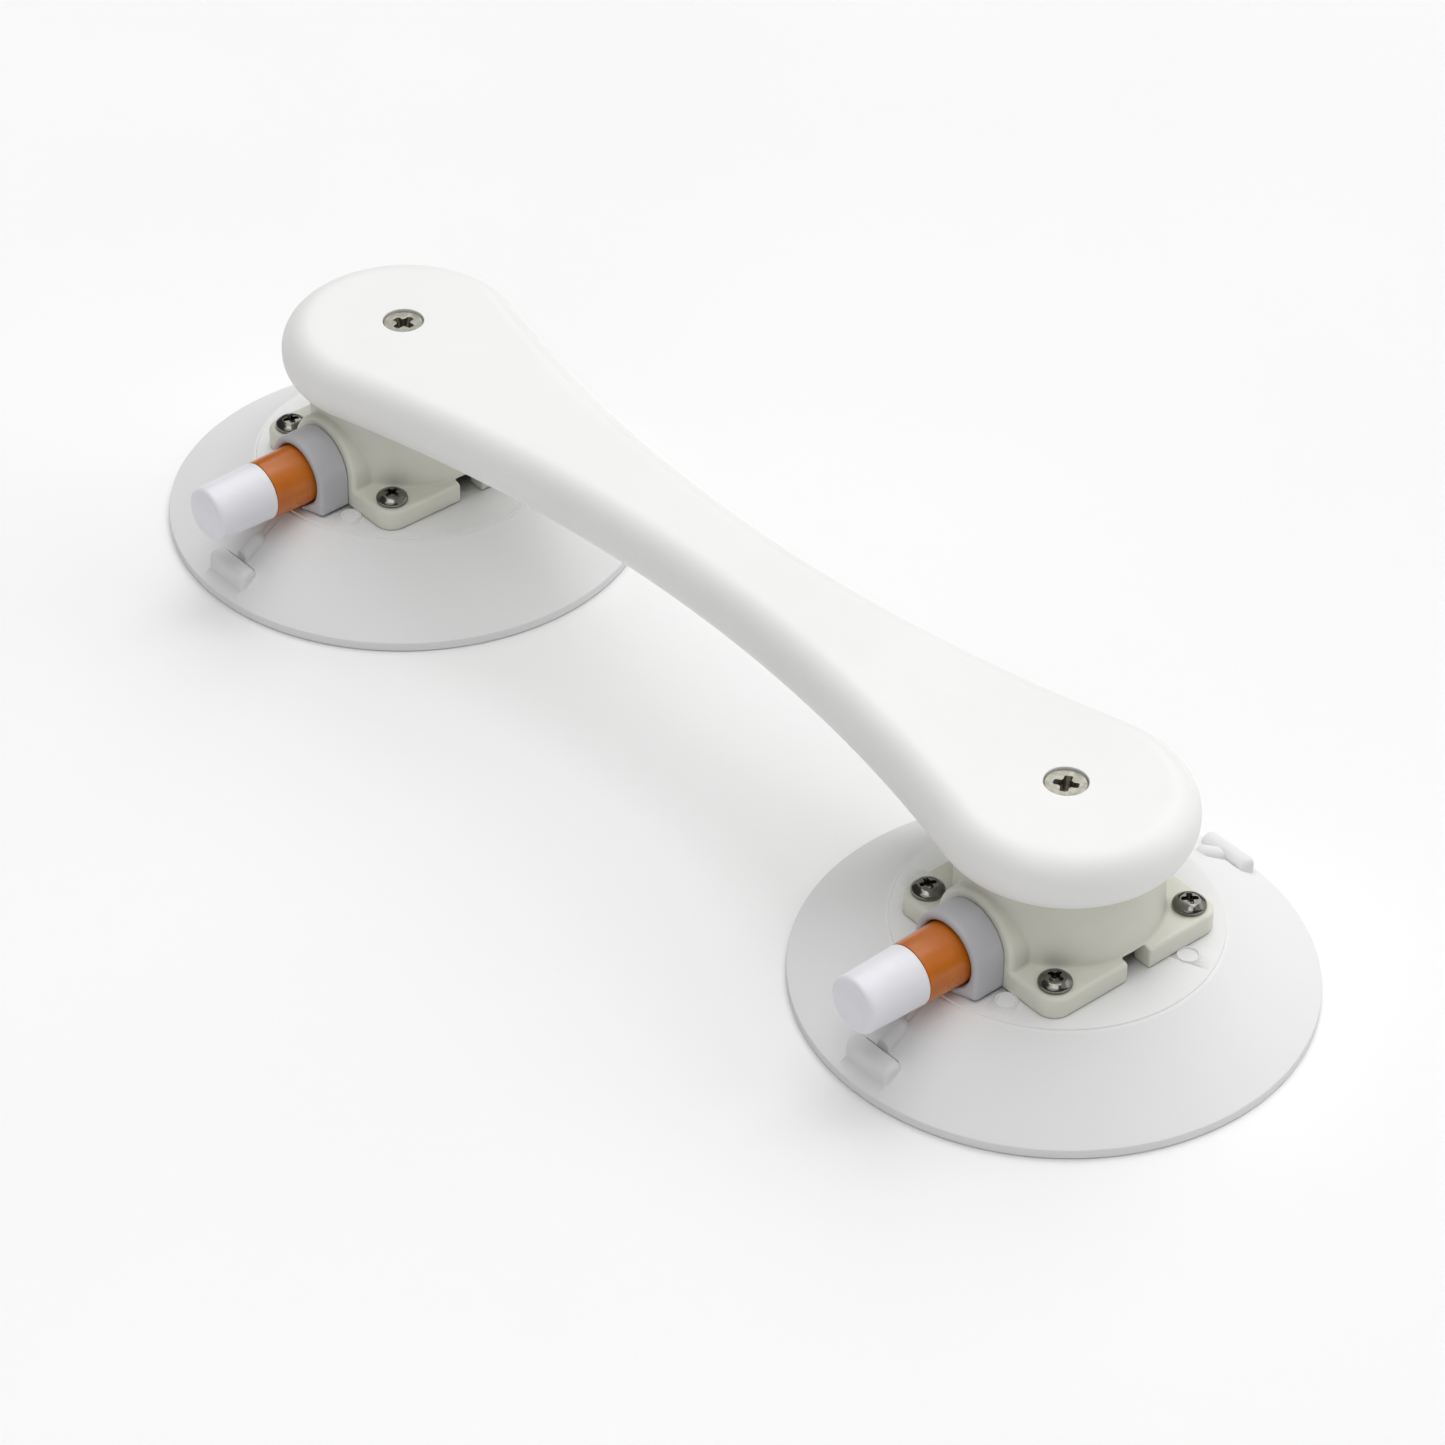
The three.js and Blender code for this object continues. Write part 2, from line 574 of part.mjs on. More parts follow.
// The plunger: tapered grip, core inside the band, grooved piston head, spring pocket.
function makePlunger() {
  const coreRadius = BAND_FRONT_RADIUS - BAND_WALL - 0.15;
  return turnedOnPump([
    [0, PLUNGER_TIP_Y],
    [PLUNGER_TIP_RADIUS - PLUNGER_TIP_ROUND, PLUNGER_TIP_Y],
    [PLUNGER_TIP_RADIUS - PLUNGER_TIP_ROUND * 0.3, PLUNGER_TIP_Y + PLUNGER_TIP_ROUND * 0.3],
    [PLUNGER_TIP_RADIUS, PLUNGER_TIP_Y + PLUNGER_TIP_ROUND],
    [BAND_FRONT_RADIUS - 0.05, BAND_FRONT_Y - 0.15],
    [coreRadius, BAND_FRONT_Y - 0.15],
    [coreRadius, HEAD_FRONT_Y],
    [HEAD_RADIUS, HEAD_FRONT_Y],
    [HEAD_RADIUS, SEAL_FRONT_Y],
    [SEAL_GROOVE_RADIUS, SEAL_FRONT_Y],
    [SEAL_GROOVE_RADIUS, SEAL_REAR_Y],
    [HEAD_RADIUS, SEAL_REAR_Y],
    [HEAD_RADIUS, HEAD_REAR_Y],
    [SPRING_POCKET_RADIUS, HEAD_REAR_Y],
    [SPRING_POCKET_RADIUS, SPRING_POCKET_END_Y],
    [0, SPRING_POCKET_END_Y],
  ]);
}

function makeIndicatorBand() {
  const inside = BAND_FRONT_RADIUS - BAND_WALL;
  return turnedOnPump([
    [inside, BAND_FRONT_Y],
    [BAND_FRONT_RADIUS, BAND_FRONT_Y],
    [BAND_REAR_RADIUS, MOUTH_Y - COLLAR_DEPTH],
    [BAND_REAR_RADIUS, BAND_REAR_Y],
    [inside, BAND_REAR_Y],
    [inside, BAND_FRONT_Y],
  ]);
}

// A U-shaped ring whose lips open towards the hand, so it lets air out past it and none back in.
function makePistonSeal() {
  const front = SEAL_FRONT_Y + 0.15;
  const rear = SEAL_REAR_Y - 0.15;
  const inside = SEAL_GROOVE_RADIUS + 0.15;
  const outside = BORE_RADIUS - 0.05;
  const middle = (inside + outside) / 2;
  return turnedOnPump([
    [inside, front],
    [middle - 0.35, front],
    [middle, rear - 1],
    [middle + 0.35, front],
    [outside, front],
    [outside - 0.15, rear],
    [inside, rear],
    [inside, front],
  ]);
}

// A coil spring along the pump's axis, from the plunger's pocket to the end of the bore.
class SpringLine extends THREE.Curve {
  constructor(start, end) {
    super();
    this.start = start;
    this.end = end;
  }

  getPoint(t, target = new THREE.Vector3()) {
    const angle = 2 * Math.PI * SPRING_TURNS * t;
    const y = THREE.MathUtils.lerp(this.start, this.end, t);
    return target.set(SPRING_RADIUS * Math.cos(angle), y, SPRING_RADIUS * Math.sin(angle));
  }
}

function makeReturnSpring() {
  const margin = SPRING_WIRE_RADIUS + GAP;
  const line = new SpringLine(SPRING_POCKET_END_Y + margin, BORE_END_Y - margin);
  const wire = new THREE.Shape();
  wire.absarc(0, 0, SPRING_WIRE_RADIUS, 0, 2 * Math.PI, false);
  const settings = { extrudePath: line, steps: SPRING_TURNS * 11, curveSegments: 2 };
  return new THREE.ExtrudeGeometry(wire, settings).translate(0, 0, PUMP_AXIS_Z);
}

// An umbrella valve: a soft cap over the air holes, held by a stem with a bulb below the floor.
function makeCheckValve() {
  const seat = VALVE_SEAT_Z + 0.1;
  const bulbTop = KEEL_BASE - 0.1;
  return turned(
    [
      [0, bulbTop - 1.8],
      [VALVE_STEM_RADIUS * 0.6, bulbTop - 1.8],
      [VALVE_STEM_RADIUS + 0.7, bulbTop],
      [VALVE_STEM_RADIUS, bulbTop],
      [VALVE_STEM_RADIUS, seat],
      [VALVE_CAP_RADIUS, seat],
      [VALVE_CAP_RADIUS, seat + 0.4],
      [VALVE_CAP_RADIUS * 0.6, seat + 1],
      [0, seat + 1.3],
    ],
    12,
  ).translate(0, VALVE_Y, 0);
}

// ---- Assembly ----

// One vacuum cup with everything that is fastened to it.
function makeMount(side, centreX) {
  const mount = new THREE.Group();
  mount.position.x = centreX;
  const add = (name, geometry, look) => addPiece(mount, `${name}_${side}`, geometry, look);
  add("suction_cup", makeCup(), FINISHES.rubber);
  add("backing_plate", makeBackingPlate(), FINISHES.plateSteel);
  add("inlet_filter", makeInletFilter(), FINISHES.filterFelt);
  add("pump_housing", makeHousing(), FINISHES.housingPlastic);
  add("cylinder_collar", makeCollar(), FINISHES.collarPlastic);
  add("plunger", makePlunger(), FINISHES.plungerPlastic);
  add("indicator_band", makeIndicatorBand(), FINISHES.indicatorOrange);
  add("piston_seal", makePistonSeal(), FINISHES.sealRubber);
  add("return_spring", makeReturnSpring(), FINISHES.springSteel);
  add("check_valve", makeCheckValve(), FINISHES.sealRubber);
  add("threaded_insert", makeThreadedInsert(), FINISHES.brass);
  add("handle_screw", makeBarScrew(), FINISHES.screwSteel);
  flangeScrewSpots().forEach(([x, y], i) => {
    const screw = makeFlangeScrew().translate(x, y, 0);
    addPiece(mount, `flange_screw_${side}_${i + 1}`, screw, FINISHES.screwSteel);
  });
  return mount;
}

const grabBar = new THREE.Group();
addPiece(grabBar, "grab_bar", makeBar(), FINISHES.barPlastic);
grabBar.add(makeMount("left", -CUP_PITCH / 2));
grabBar.add(makeMount("right", CUP_PITCH / 2));

export default grabBar;
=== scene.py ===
"""Looks of the suction grab bar: a moulded bar screwed to two hand-pumped vacuum cups.

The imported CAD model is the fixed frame. Every visible piece is built here around it, in millimetres
relative to its own mount, and turned into metres when its mesh is made.
"""

import sys
import json
import logging
import math
from collections.abc import Callable, Sequence
from dataclasses import dataclass, field
from enum import Enum
from itertools import pairwise

import bmesh
import bpy
import numpy as np
from mathutils import Matrix, Vector


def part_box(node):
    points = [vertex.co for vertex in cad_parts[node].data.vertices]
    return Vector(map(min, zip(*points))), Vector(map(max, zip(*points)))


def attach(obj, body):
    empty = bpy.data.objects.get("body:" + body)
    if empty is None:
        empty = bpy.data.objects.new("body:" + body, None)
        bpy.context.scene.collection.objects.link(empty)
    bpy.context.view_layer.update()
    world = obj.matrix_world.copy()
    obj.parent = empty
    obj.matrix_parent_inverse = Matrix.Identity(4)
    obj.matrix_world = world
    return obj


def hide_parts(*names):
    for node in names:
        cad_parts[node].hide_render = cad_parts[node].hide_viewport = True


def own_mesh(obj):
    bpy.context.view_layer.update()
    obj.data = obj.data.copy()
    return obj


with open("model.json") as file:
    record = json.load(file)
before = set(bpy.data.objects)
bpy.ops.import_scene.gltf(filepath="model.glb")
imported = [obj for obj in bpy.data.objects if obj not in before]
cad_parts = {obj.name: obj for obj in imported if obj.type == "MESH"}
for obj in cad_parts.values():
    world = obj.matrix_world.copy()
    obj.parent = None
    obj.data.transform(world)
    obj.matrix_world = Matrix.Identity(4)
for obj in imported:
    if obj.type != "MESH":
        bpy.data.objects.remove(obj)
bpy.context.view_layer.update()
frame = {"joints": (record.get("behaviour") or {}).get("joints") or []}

LOG = logging.getLogger("grab_bar")

MM = 0.001
INCH = 25.4
SHARP_ANGLE = math.radians(32)
Array = np.ndarray
Outline = Callable[[Array, Array], Array]


class Axis(Enum):
    """Which way a turned or pressed shape points: its own length runs along this axis."""

    UP = (0, 1, 2)
    PUMP = (0, 2, 1)


class Side(Enum):
    """The two ends of the bar."""

    LEFT = "left"
    RIGHT = "right"


# ---- Places taken from the frame ----


@dataclass(frozen=True)
class Extent:
    """The box of a CAD node in millimetres, relative to the centre of its mount."""

    low: Vector
    high: Vector

    @classmethod
    def of(cls, node: str, centre_x: float = 0.0) -> "Extent":
        """Reads a node's box from the frame.

        Args:
            node: The CAD node's name.
            centre_x: Where the mount's centre lies along the bar, in millimetres.

        Returns:
            The node's extent about that centre.
        """
        low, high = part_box(node)
        shift = Vector((centre_x, 0, 0))
        return cls(low / MM - shift, high / MM - shift)

    @property
    def centre(self) -> Vector:
        """The middle of the box."""
        return (self.low + self.high) / 2


# ---- Solids as distances ----


def round_min(first: Array, second: Array, radius: float) -> Array:
    """The distance to two joined solids, with a round fillet where they meet.

    Args:
        first: Distances to one solid.
        second: Distances to the other.
        radius: The fillet's radius, 0 for a plain corner.

    Returns:
        The distances to both together.
    """
    if radius <= 0:
        return np.minimum(first, second)
    reach = np.hypot(np.maximum(radius - first, 0), np.maximum(radius - second, 0))
    return np.maximum(radius, np.minimum(first, second)) - reach


@dataclass(frozen=True)
class Solid:
    """A shape held as its signed distance in millimetres, negative inside."""

    distance: Callable[[Array], Array]

    def joined(self, other: "Solid", fillet: float = 0.0) -> "Solid":
        """This solid and another as one, with a fillet between them."""
        return Solid(lambda p: round_min(self.distance(p), other.distance(p), fillet))

    def kept(self, other: "Solid", edge: float = 0.0) -> "Solid":
        """What lies in both solids, with its new edges rounded."""
        return Solid(lambda p: -round_min(-self.distance(p), -other.distance(p), edge))

    def cut(self, other: "Solid", edge: float = 0.0) -> "Solid":
        """This solid with another taken out of it, its new edges rounded."""
        return Solid(lambda p: -round_min(-self.distance(p), other.distance(p), edge))

    def at(self, x: float = 0.0, y: float = 0.0, z: float = 0.0) -> "Solid":
        """The same solid, moved."""
        return Solid(lambda p: self.distance(p - np.array((x, y, z))))

    def spun(self, degrees: float) -> "Solid":
        """The same solid, turned about the upright axis."""
        turn = np.array(Matrix.Rotation(math.radians(degrees), 3, "Z"))
        return Solid(lambda p: self.distance(p @ turn))

    def slope(self, points: Array, step: float) -> Array:
        """The outward direction of the distance at some points.

        Args:
            points: Points in millimetres, one per row.
            step: The spacing over which the slope is measured.

        Returns:
            One unit vector per point.
        """
        around = np.concatenate([points + d for d in np.vstack((np.eye(3), -np.eye(3))) * step])
        values = self.distance(around).reshape(2, 3, -1)
        rise = (values[0] - values[1]).T
        return rise / np.maximum(np.linalg.norm(rise, axis=1, keepdims=True), 1e-9)


def disc(radius: float) -> Outline:
    """A round outline about the axis."""
    return lambda u, v: np.hypot(u, v) - radius


def rectangle(half_u: float, half_v: float, corner: float = 0.0) -> Outline:
    """A rectangle about the axis, with rounded corners."""

    def distance(u: Array, v: Array) -> Array:
        """How far a point lies outside the rectangle."""
        du = np.abs(u) - half_u + corner
        dv = np.abs(v) - half_v + corner
        outside = np.hypot(np.maximum(du, 0), np.maximum(dv, 0))
        return outside + np.minimum(np.maximum(du, dv), 0) - corner

    return distance


def arch(radius: float, foot: float) -> Outline:
    """A round arch over the axis, with straight sides down to its foot."""
    return lambda u, v: np.maximum(np.hypot(u, np.maximum(v, 0)) - radius, foot - v)


def polygon(corners: Sequence[tuple[float, float]]) -> Outline:
    """A closed outline through some corners.

    Args:
        corners: The corners in order.

    Returns:
        The outline's distance.
    """
    points = np.array(corners, float)

    def distance(u: Array, v: Array) -> Array:
        """How far a point lies outside the polygon."""
        nearest = np.full(u.shape, np.inf)
        outside = np.ones(u.shape)
        for (au, av), (bu, bv) in zip(points, np.roll(points, 1, axis=0)):
            edge_u, edge_v = bu - au, bv - av
            from_u, from_v = u - au, v - av
            length = edge_u**2 + edge_v**2
            share = np.clip((from_u * edge_u + from_v * edge_v) / length, 0, 1)
            gap = (from_u - edge_u * share) ** 2 + (from_v - edge_v * share) ** 2
            nearest = np.minimum(nearest, gap)
            left = edge_u * from_v > edge_v * from_u
            rising = (v >= av) & (v < bv) & left
            falling = (v < av) & (v >= bv) & ~left
            outside = np.where(rising | falling, -outside, outside)
        return np.sqrt(nearest) * outside

    return distance


def pressed(
    outline: Outline, low: float, high: float, edge: float = 0.0, axis: Axis = Axis.UP
) -> Solid:
    """An outline given a length along an axis.

    Args:
        outline: The shape seen along the axis.
        low: Where it starts along the axis.
        high: Where it ends.
        edge: How round its two end edges are.
        axis: The axis that it runs along.

    Returns:
        The solid.
    """
    across, other, along = axis.value

    def distance(p: Array) -> Array:
        """The outline's distance joined with the distance past the ends."""
        ends = np.abs(p[:, along] - (low + high) / 2) - (high - low) / 2
        return -round_min(-outline(p[:, across], p[:, other]), -ends, edge)

    return Solid(distance)


def revolved(profile: Sequence[tuple[float, float]], axis: Axis = Axis.UP) -> Solid:
    """A closed profile of (radius, place along the axis) points, turned about the axis."""
    across, other, along = axis.value
    shape = polygon(profile)
    return Solid(lambda p: shape(np.hypot(p[:, across], p[:, other]), p[:, along]))


def above(height: float) -> Solid:
    """Everything higher than a height."""
    return Solid(lambda p: height - p[:, 2])


@dataclass(frozen=True)
class Thread:
    """A rolled screw thread on an upright rod."""

    crest_radius: float
    depth: float
    pitch: float

    def solid(self, low: float, high: float, edge: float = 0.4) -> Solid:
        """The threaded rod between two heights.

        Args:
            low: Height of its tip.
            high: Height of its top.
            edge: The chamfer-like rounding at its ends.

        Returns:
            The solid.
        """

        def outline(p: Array) -> Array:
            """Distance to the helical flank, which leans by 30 degrees."""
            turn = np.arctan2(p[:, 1], p[:, 0]) / (2 * math.pi)
            phase = np.mod(p[:, 2] / self.pitch - turn, 1.0)
            ridge = self.depth * np.abs(2 * phase - 1)
            radius = self.crest_radius - ridge
            return (np.hypot(p[:, 0], p[:, 1]) - radius) * math.cos(math.radians(30))

        ends = pressed(disc(self.crest_radius + 1), low, high)
        return Solid(outline).kept(ends, edge)


@dataclass(frozen=True)
class PhillipsRecess:
    """A cross recess: four wings that taper as they go down."""

    span: float
    wing: float
    depth: float
    corner: float = 0.35

    def solid(self, top: float) -> Solid:
        """The recess sunk from a height.

        Args:
            top: Height of the screw's head.

        Returns:
            The solid to take out of the head.
        """
        draft, taper = math.tan(math.radians(4)), math.tan(math.radians(24))

        def blade(p: Array, along: int, across: int) -> Array:
            """Distance to one of the two crossed blades."""
            down = np.clip(top - p[:, 2], 0, self.depth)
            ends = np.abs(p[:, along]) - self.span / 2 + down * taper
            sides = np.abs(p[:, across]) - self.wing / 2 + down * draft
            floor = top - self.depth - p[:, 2]
            return -round_min(-np.maximum(ends, floor), -sides, self.wing * 0.3)

        return Solid(lambda p: round_min(blade(p, 0, 1), blade(p, 1, 0), self.corner))


# ---- Meshes ----


def finished(mesh: bpy.types.Mesh, sharp: float = SHARP_ANGLE) -> bpy.types.Mesh:
    """Shades a mesh smoothly, but for edges sharper than an angle."""
    mesh.shade_smooth()
    mesh.set_sharp_from_angle(angle=sharp)
    return mesh


@dataclass(frozen=True)
class SurfaceNet:
    """Turns a solid into a closed mesh of small quads whose corners lie on its surface."""

    pitch: float
    block: int = 4
    pulls: int = 4

    def mesh(self, name: str, solid: Solid, low: Sequence[float], high: Sequence[float]) -> bpy.types.Mesh:
        """Meshes a solid inside a box.

        Args:
            name: The mesh's name.
            solid: The solid to mesh.
            low: The box's lowest corner, in millimetres.
            high: The box's highest corner.

        Returns:
            The mesh, with normals from the solid's own slope.
        """
        start = np.array(low, float) - 2 * self.pitch
        values = self._sampled(solid, start, np.array(high, float) + 2 * self.pitch)
        points, quads = self._net(values)
        points = start + points * self.pitch
        for _ in range(self.pulls):
            slope = solid.slope(points, 0.1 * self.pitch)
            pull = np.clip(solid.distance(points), -self.pitch, self.pitch)
            points = points - slope * pull[:, None]
        mesh = bpy.data.meshes.new(name)
        mesh.from_pydata((points * MM).tolist(), [], quads.tolist())
        mesh.shade_smooth()
        mesh.normals_split_custom_set_from_vertices(solid.slope(points, 0.3 * self.pitch).tolist())
        return mesh

    def _sampled(self, solid: Solid, start: Array, end: Array) -> Array:
        """Distances on a grid, worked out finely only in blocks that the surface may cross."""
        size = self.pitch * self.block
        counts = np.ceil((end - start) / size).astype(int)
        middle = (self.block - 1) / 2
        axes = [start[i] + self.pitch * (np.arange(counts[i]) * self.block + middle) for i in range(3)]
        centres = np.stack(np.meshgrid(*axes, indexing="ij"), -1).reshape(-1, 3)
        values = solid.distance(centres).reshape(counts)
        for i in range(3):
            values = values.repeat(self.block, axis=i)
        near = np.argwhere(np.abs(values) < 1.6 * size)
        for part in np.array_split(near, max(1, len(near) // 200_000)):
            values[tuple(part.T)] = solid.distance(start + part * self.pitch)
        return values

    @staticmethod
    def _net(values: Array) -> tuple[Array, Array]:
        """One point per cell that the surface crosses, and one quad per crossed edge."""
        cells = np.array(values.shape) - 1
        strides = np.array((cells[1] * cells[2], cells[2], 1))
        total = int(np.prod(cells))
        sums = np.zeros((total, 3))
        counts = np.zeros(total)
        rings = []
        for axis in range(3):
            lower = np.moveaxis(values, axis, 0)[:-1]
            upper = np.moveaxis(values, axis, 0)[1:]
            crossed = (lower < 0) != (upper < 0)
            index = np.argwhere(crossed)
            share = lower[crossed] / (lower[crossed] - upper[crossed])
            outward = lower[crossed] < 0
            order = [axis] + [i for i in range(3) if i != axis]
            index = index[:, np.argsort(order)]
            places = index.astype(float)
            places[:, axis] += share
            side, other = (axis + 1) % 3, (axis + 2) % 3
            ring = []
            for back_side, back_other in ((1, 1), (0, 1), (0, 0), (1, 0)):
                cell = index.copy()
                cell[:, side] -= back_side
                cell[:, other] -= back_other
                flat = cell @ strides
                ring.append(flat)
                counts += np.bincount(flat, minlength=total)
                for i in range(3):
                    sums[:, i] += np.bincount(flat, weights=places[:, i], minlength=total)
            ring = np.stack(ring, axis=1)
            rings.append(np.where(outward[:, None], ring, ring[:, ::-1]))
        used = np.flatnonzero(counts)
        number = np.zeros(total, int)
        number[used] = np.arange(len(used))
        return sums[used] / counts[used, None], number[np.concatenate(rings)]


def filleted(corners: Sequence[tuple[float, ...]], closed: bool = False) -> list[tuple[float, float]]:
    """A line through corners that are rounded where they ask for it.

    Args:
        corners: (u, v) for a plain corner, or (u, v, radius) for a rounded one.
        closed: Whether the line runs back to its first corner.

    Returns:
        The line's points, with a guard point beside each rounding that keeps flats flat.
    """
    count = len(corners)
    line: list[tuple[float, float]] = []
    for i, corner in enumerate(corners):
        here = np.array(corner[:2], float)
        radius = corner[2] if len(corner) > 2 else 0.0
        if radius <= 0 or (not closed and i in (0, count - 1)):
            line.append(tuple(here))
            continue
        back = np.array(corners[i - 1][:2], float) - here
        ahead = np.array(corners[(i + 1) % count][:2], float) - here
        room = min(np.linalg.norm(back), np.linalg.norm(ahead))
        back /= np.linalg.norm(back)
        ahead /= np.linalg.norm(ahead)
        half = math.acos(float(np.clip(back @ ahead, -1, 1))) / 2
        reach = min(radius / math.tan(half), 0.98 * room)
        radius = reach * math.tan(half)
        middle = here + (back + ahead) / np.linalg.norm(back + ahead) * radius / math.sin(half)
        first = math.atan2(*(here + back * reach - middle)[::-1])
        last = math.atan2(*(here + ahead * reach - middle)[::-1])
        sweep = (last - first + math.pi) % (2 * math.pi) - math.pi
        steps = max(3, math.ceil(abs(sweep) / math.radians(15)))
        guard = min(0.15 * reach, (room - reach) / 2)
        line.append(tuple(here + back * (reach + guard)))
        for step in range(steps + 1):
            angle = first + sweep * step / steps
            line.append(tuple(middle + radius * np.array((math.cos(angle), math.sin(angle)))))
        line.append(tuple(here + ahead * (reach + guard)))
    return line


def turned_mesh(
    name: str,
    profile: Sequence[tuple[float, float]],
    segments: int = 96,
    axis: Axis = Axis.UP,
    axis_height: float = 0.0,
) -> bpy.types.Mesh:
    """A closed mesh turned from a profile.

    Args:
        name: The mesh's name.
        profile: (radius, place along the axis) points; the ends are joined, or lie on the axis.
        segments: How many steps a full turn has.
        axis: The axis that it turns about.
        axis_height: How high the pump's axis lies.

    Returns:
        The mesh.
    """
    angles = np.arange(segments) * 2 * math.pi / segments
    vertices: list[Array] = []
    rows: list[list[int]] = []
    for radius, along in profile:
        start = sum(len(v) for v in vertices)
        count = 1 if radius < 1e-6 else segments
        ring = np.zeros((count, 3))
        across, other, length = axis.value
        ring[:, across] = radius * np.cos(angles[:count])
        ring[:, other] = radius * np.sin(angles[:count])
        ring[:, length] = along
        ring[:, 2] += axis_height
        vertices.append(ring)
        rows.append([start + i % count for i in range(segments)])
    closed = len(set(rows[0])) > 1
    faces = []
    for first, second in pairwise(rows + ([rows[0]] if closed else [])):
        for i in range(segments):
            j = (i + 1) % segments
            loop = [first[i], first[j], second[j], second[i]]
            face = list(dict.fromkeys(loop))
            if len(face) > 2:
                faces.append(face)
    mesh = bpy.data.meshes.new(name)
    mesh.from_pydata((np.concatenate(vertices) * MM).tolist(), [], faces)
    faced_outward(mesh)
    return finished(mesh)


def faced_outward(mesh: bpy.types.Mesh) -> None:
    """Turns a closed mesh's faces outward."""
    form = bmesh.new()
    form.from_mesh(mesh)
    bmesh.ops.recalc_face_normals(form, faces=form.faces)
    form.to_mesh(mesh)
    form.free()


def ring(centre: Sequence[float], radius: float, height: float, count: int = 48) -> Array:
    """Points on a level circle."""
    angles = np.arange(count) * 2 * math.pi / count
    spots = np.stack((np.cos(angles), np.sin(angles), np.zeros(count)), axis=1) * radius
    return spots + np.array((centre[0], centre[1], height))


def bored_mesh(name: str, wall: Sequence[Array], holes: Sequence[Sequence[Array]]) -> bpy.types.Mesh:
    """A board with flat faces, a shaped wall round it and shaped holes through it.

    Args:
        name: The mesh's name.
        wall: Level loops of points from the bottom face to the top face.
        holes: For each hole, level loops from the bottom face to the top face.

    Returns:
        The closed mesh.
    """
    form = bmesh.new()
    rims: tuple[list, list] = ([], [])
    for loops in (wall, *holes):
        rows = [[form.verts.new(point * MM) for point in loop] for loop in loops]
        for lower, upper in pairwise(rows):
            for i in range(len(lower)):
                form.faces.new((lower[i - 1], lower[i], upper[i], upper[i - 1]))
        for rim, row in zip(rims, (rows[0], rows[-1])):
            rim.extend(form.edges.get((row[i - 1], row[i])) for i in range(len(row)))
    for rim in rims:
        bmesh.ops.triangle_fill(form, use_beauty=True, edges=rim)
    bmesh.ops.recalc_face_normals(form, faces=form.faces)
    mesh = bpy.data.meshes.new(name)
    form.to_mesh(mesh)
    form.free()
    return finished(mesh)


class Cutting(Enum):
    """How one mesh changes another."""

    JOIN = "UNION"
    CUT = "DIFFERENCE"


def combined(mesh: bpy.types.Mesh, other: bpy.types.Mesh, how: Cutting) -> bpy.types.Mesh:
    """Joins a closed mesh with another, or cuts it.

    Args:
        mesh: The mesh that is changed.
        other: The mesh that changes it.
        how: Whether it is joined or cut.

    Returns:
        The new mesh, under the first one's name.
    """
    base = bpy.data.objects.new("base", mesh)
    tool = bpy.data.objects.new("tool", other)
    for obj in (base, tool):
        bpy.context.scene.collection.objects.link(obj)
    step = base.modifiers.new("step", "BOOLEAN")
    step.object, step.operation, step.solver = tool, how.value, "MANIFOLD"
    bpy.context.view_layer.update()
    evaluated = base.evaluated_get(bpy.context.evaluated_depsgraph_get())
    result = bpy.data.meshes.new_from_object(evaluated)
    name = mesh.name
    for obj in (base, tool):
        bpy.data.objects.remove(obj)
    for spent in (mesh, other):
        bpy.data.meshes.remove(spent)
    result.name = name
    return result


# ---- Materials ----


def linear(colour: str) -> tuple[float, float, float, float]:
    """Turns an sRGB hex colour such as "#F3F3F2" into linear values."""
    parts = (int(colour[i : i + 2], 16) / 255 for i in (1, 3, 5))
    red, green, blue = (c / 12.92 if c <= 0.04045 else ((c + 0.055) / 1.055) ** 2.4 for c in parts)
    return red, green, blue, 1.0


def per_metre(size_mm: float) -> float:
    """The texture scale that gives a pattern of that size in millimetres."""
    return 1 / (size_mm * MM)


def add_node(
    tree: bpy.types.NodeTree,
    kind: str,
    inputs: dict | None = None,
    **settings: object,
) -> bpy.types.Node:
    """Adds one shader node with its settings, values and links.

    Args:
        tree: The node tree.
        kind: The node's type, without "ShaderNode".
        inputs: Values or sockets to link, by the input's name or number.
        **settings: The node's own properties.

    Returns:
        The node.
    """
    node = tree.nodes.new("ShaderNode" + kind)
    for key, value in settings.items():
        setattr(node, key, value)
    for key, value in (inputs or {}).items():
        if isinstance(value, bpy.types.NodeSocket):
            tree.links.new(value, node.inputs[key])
        else:
            node.inputs[key].default_value = value
    return node


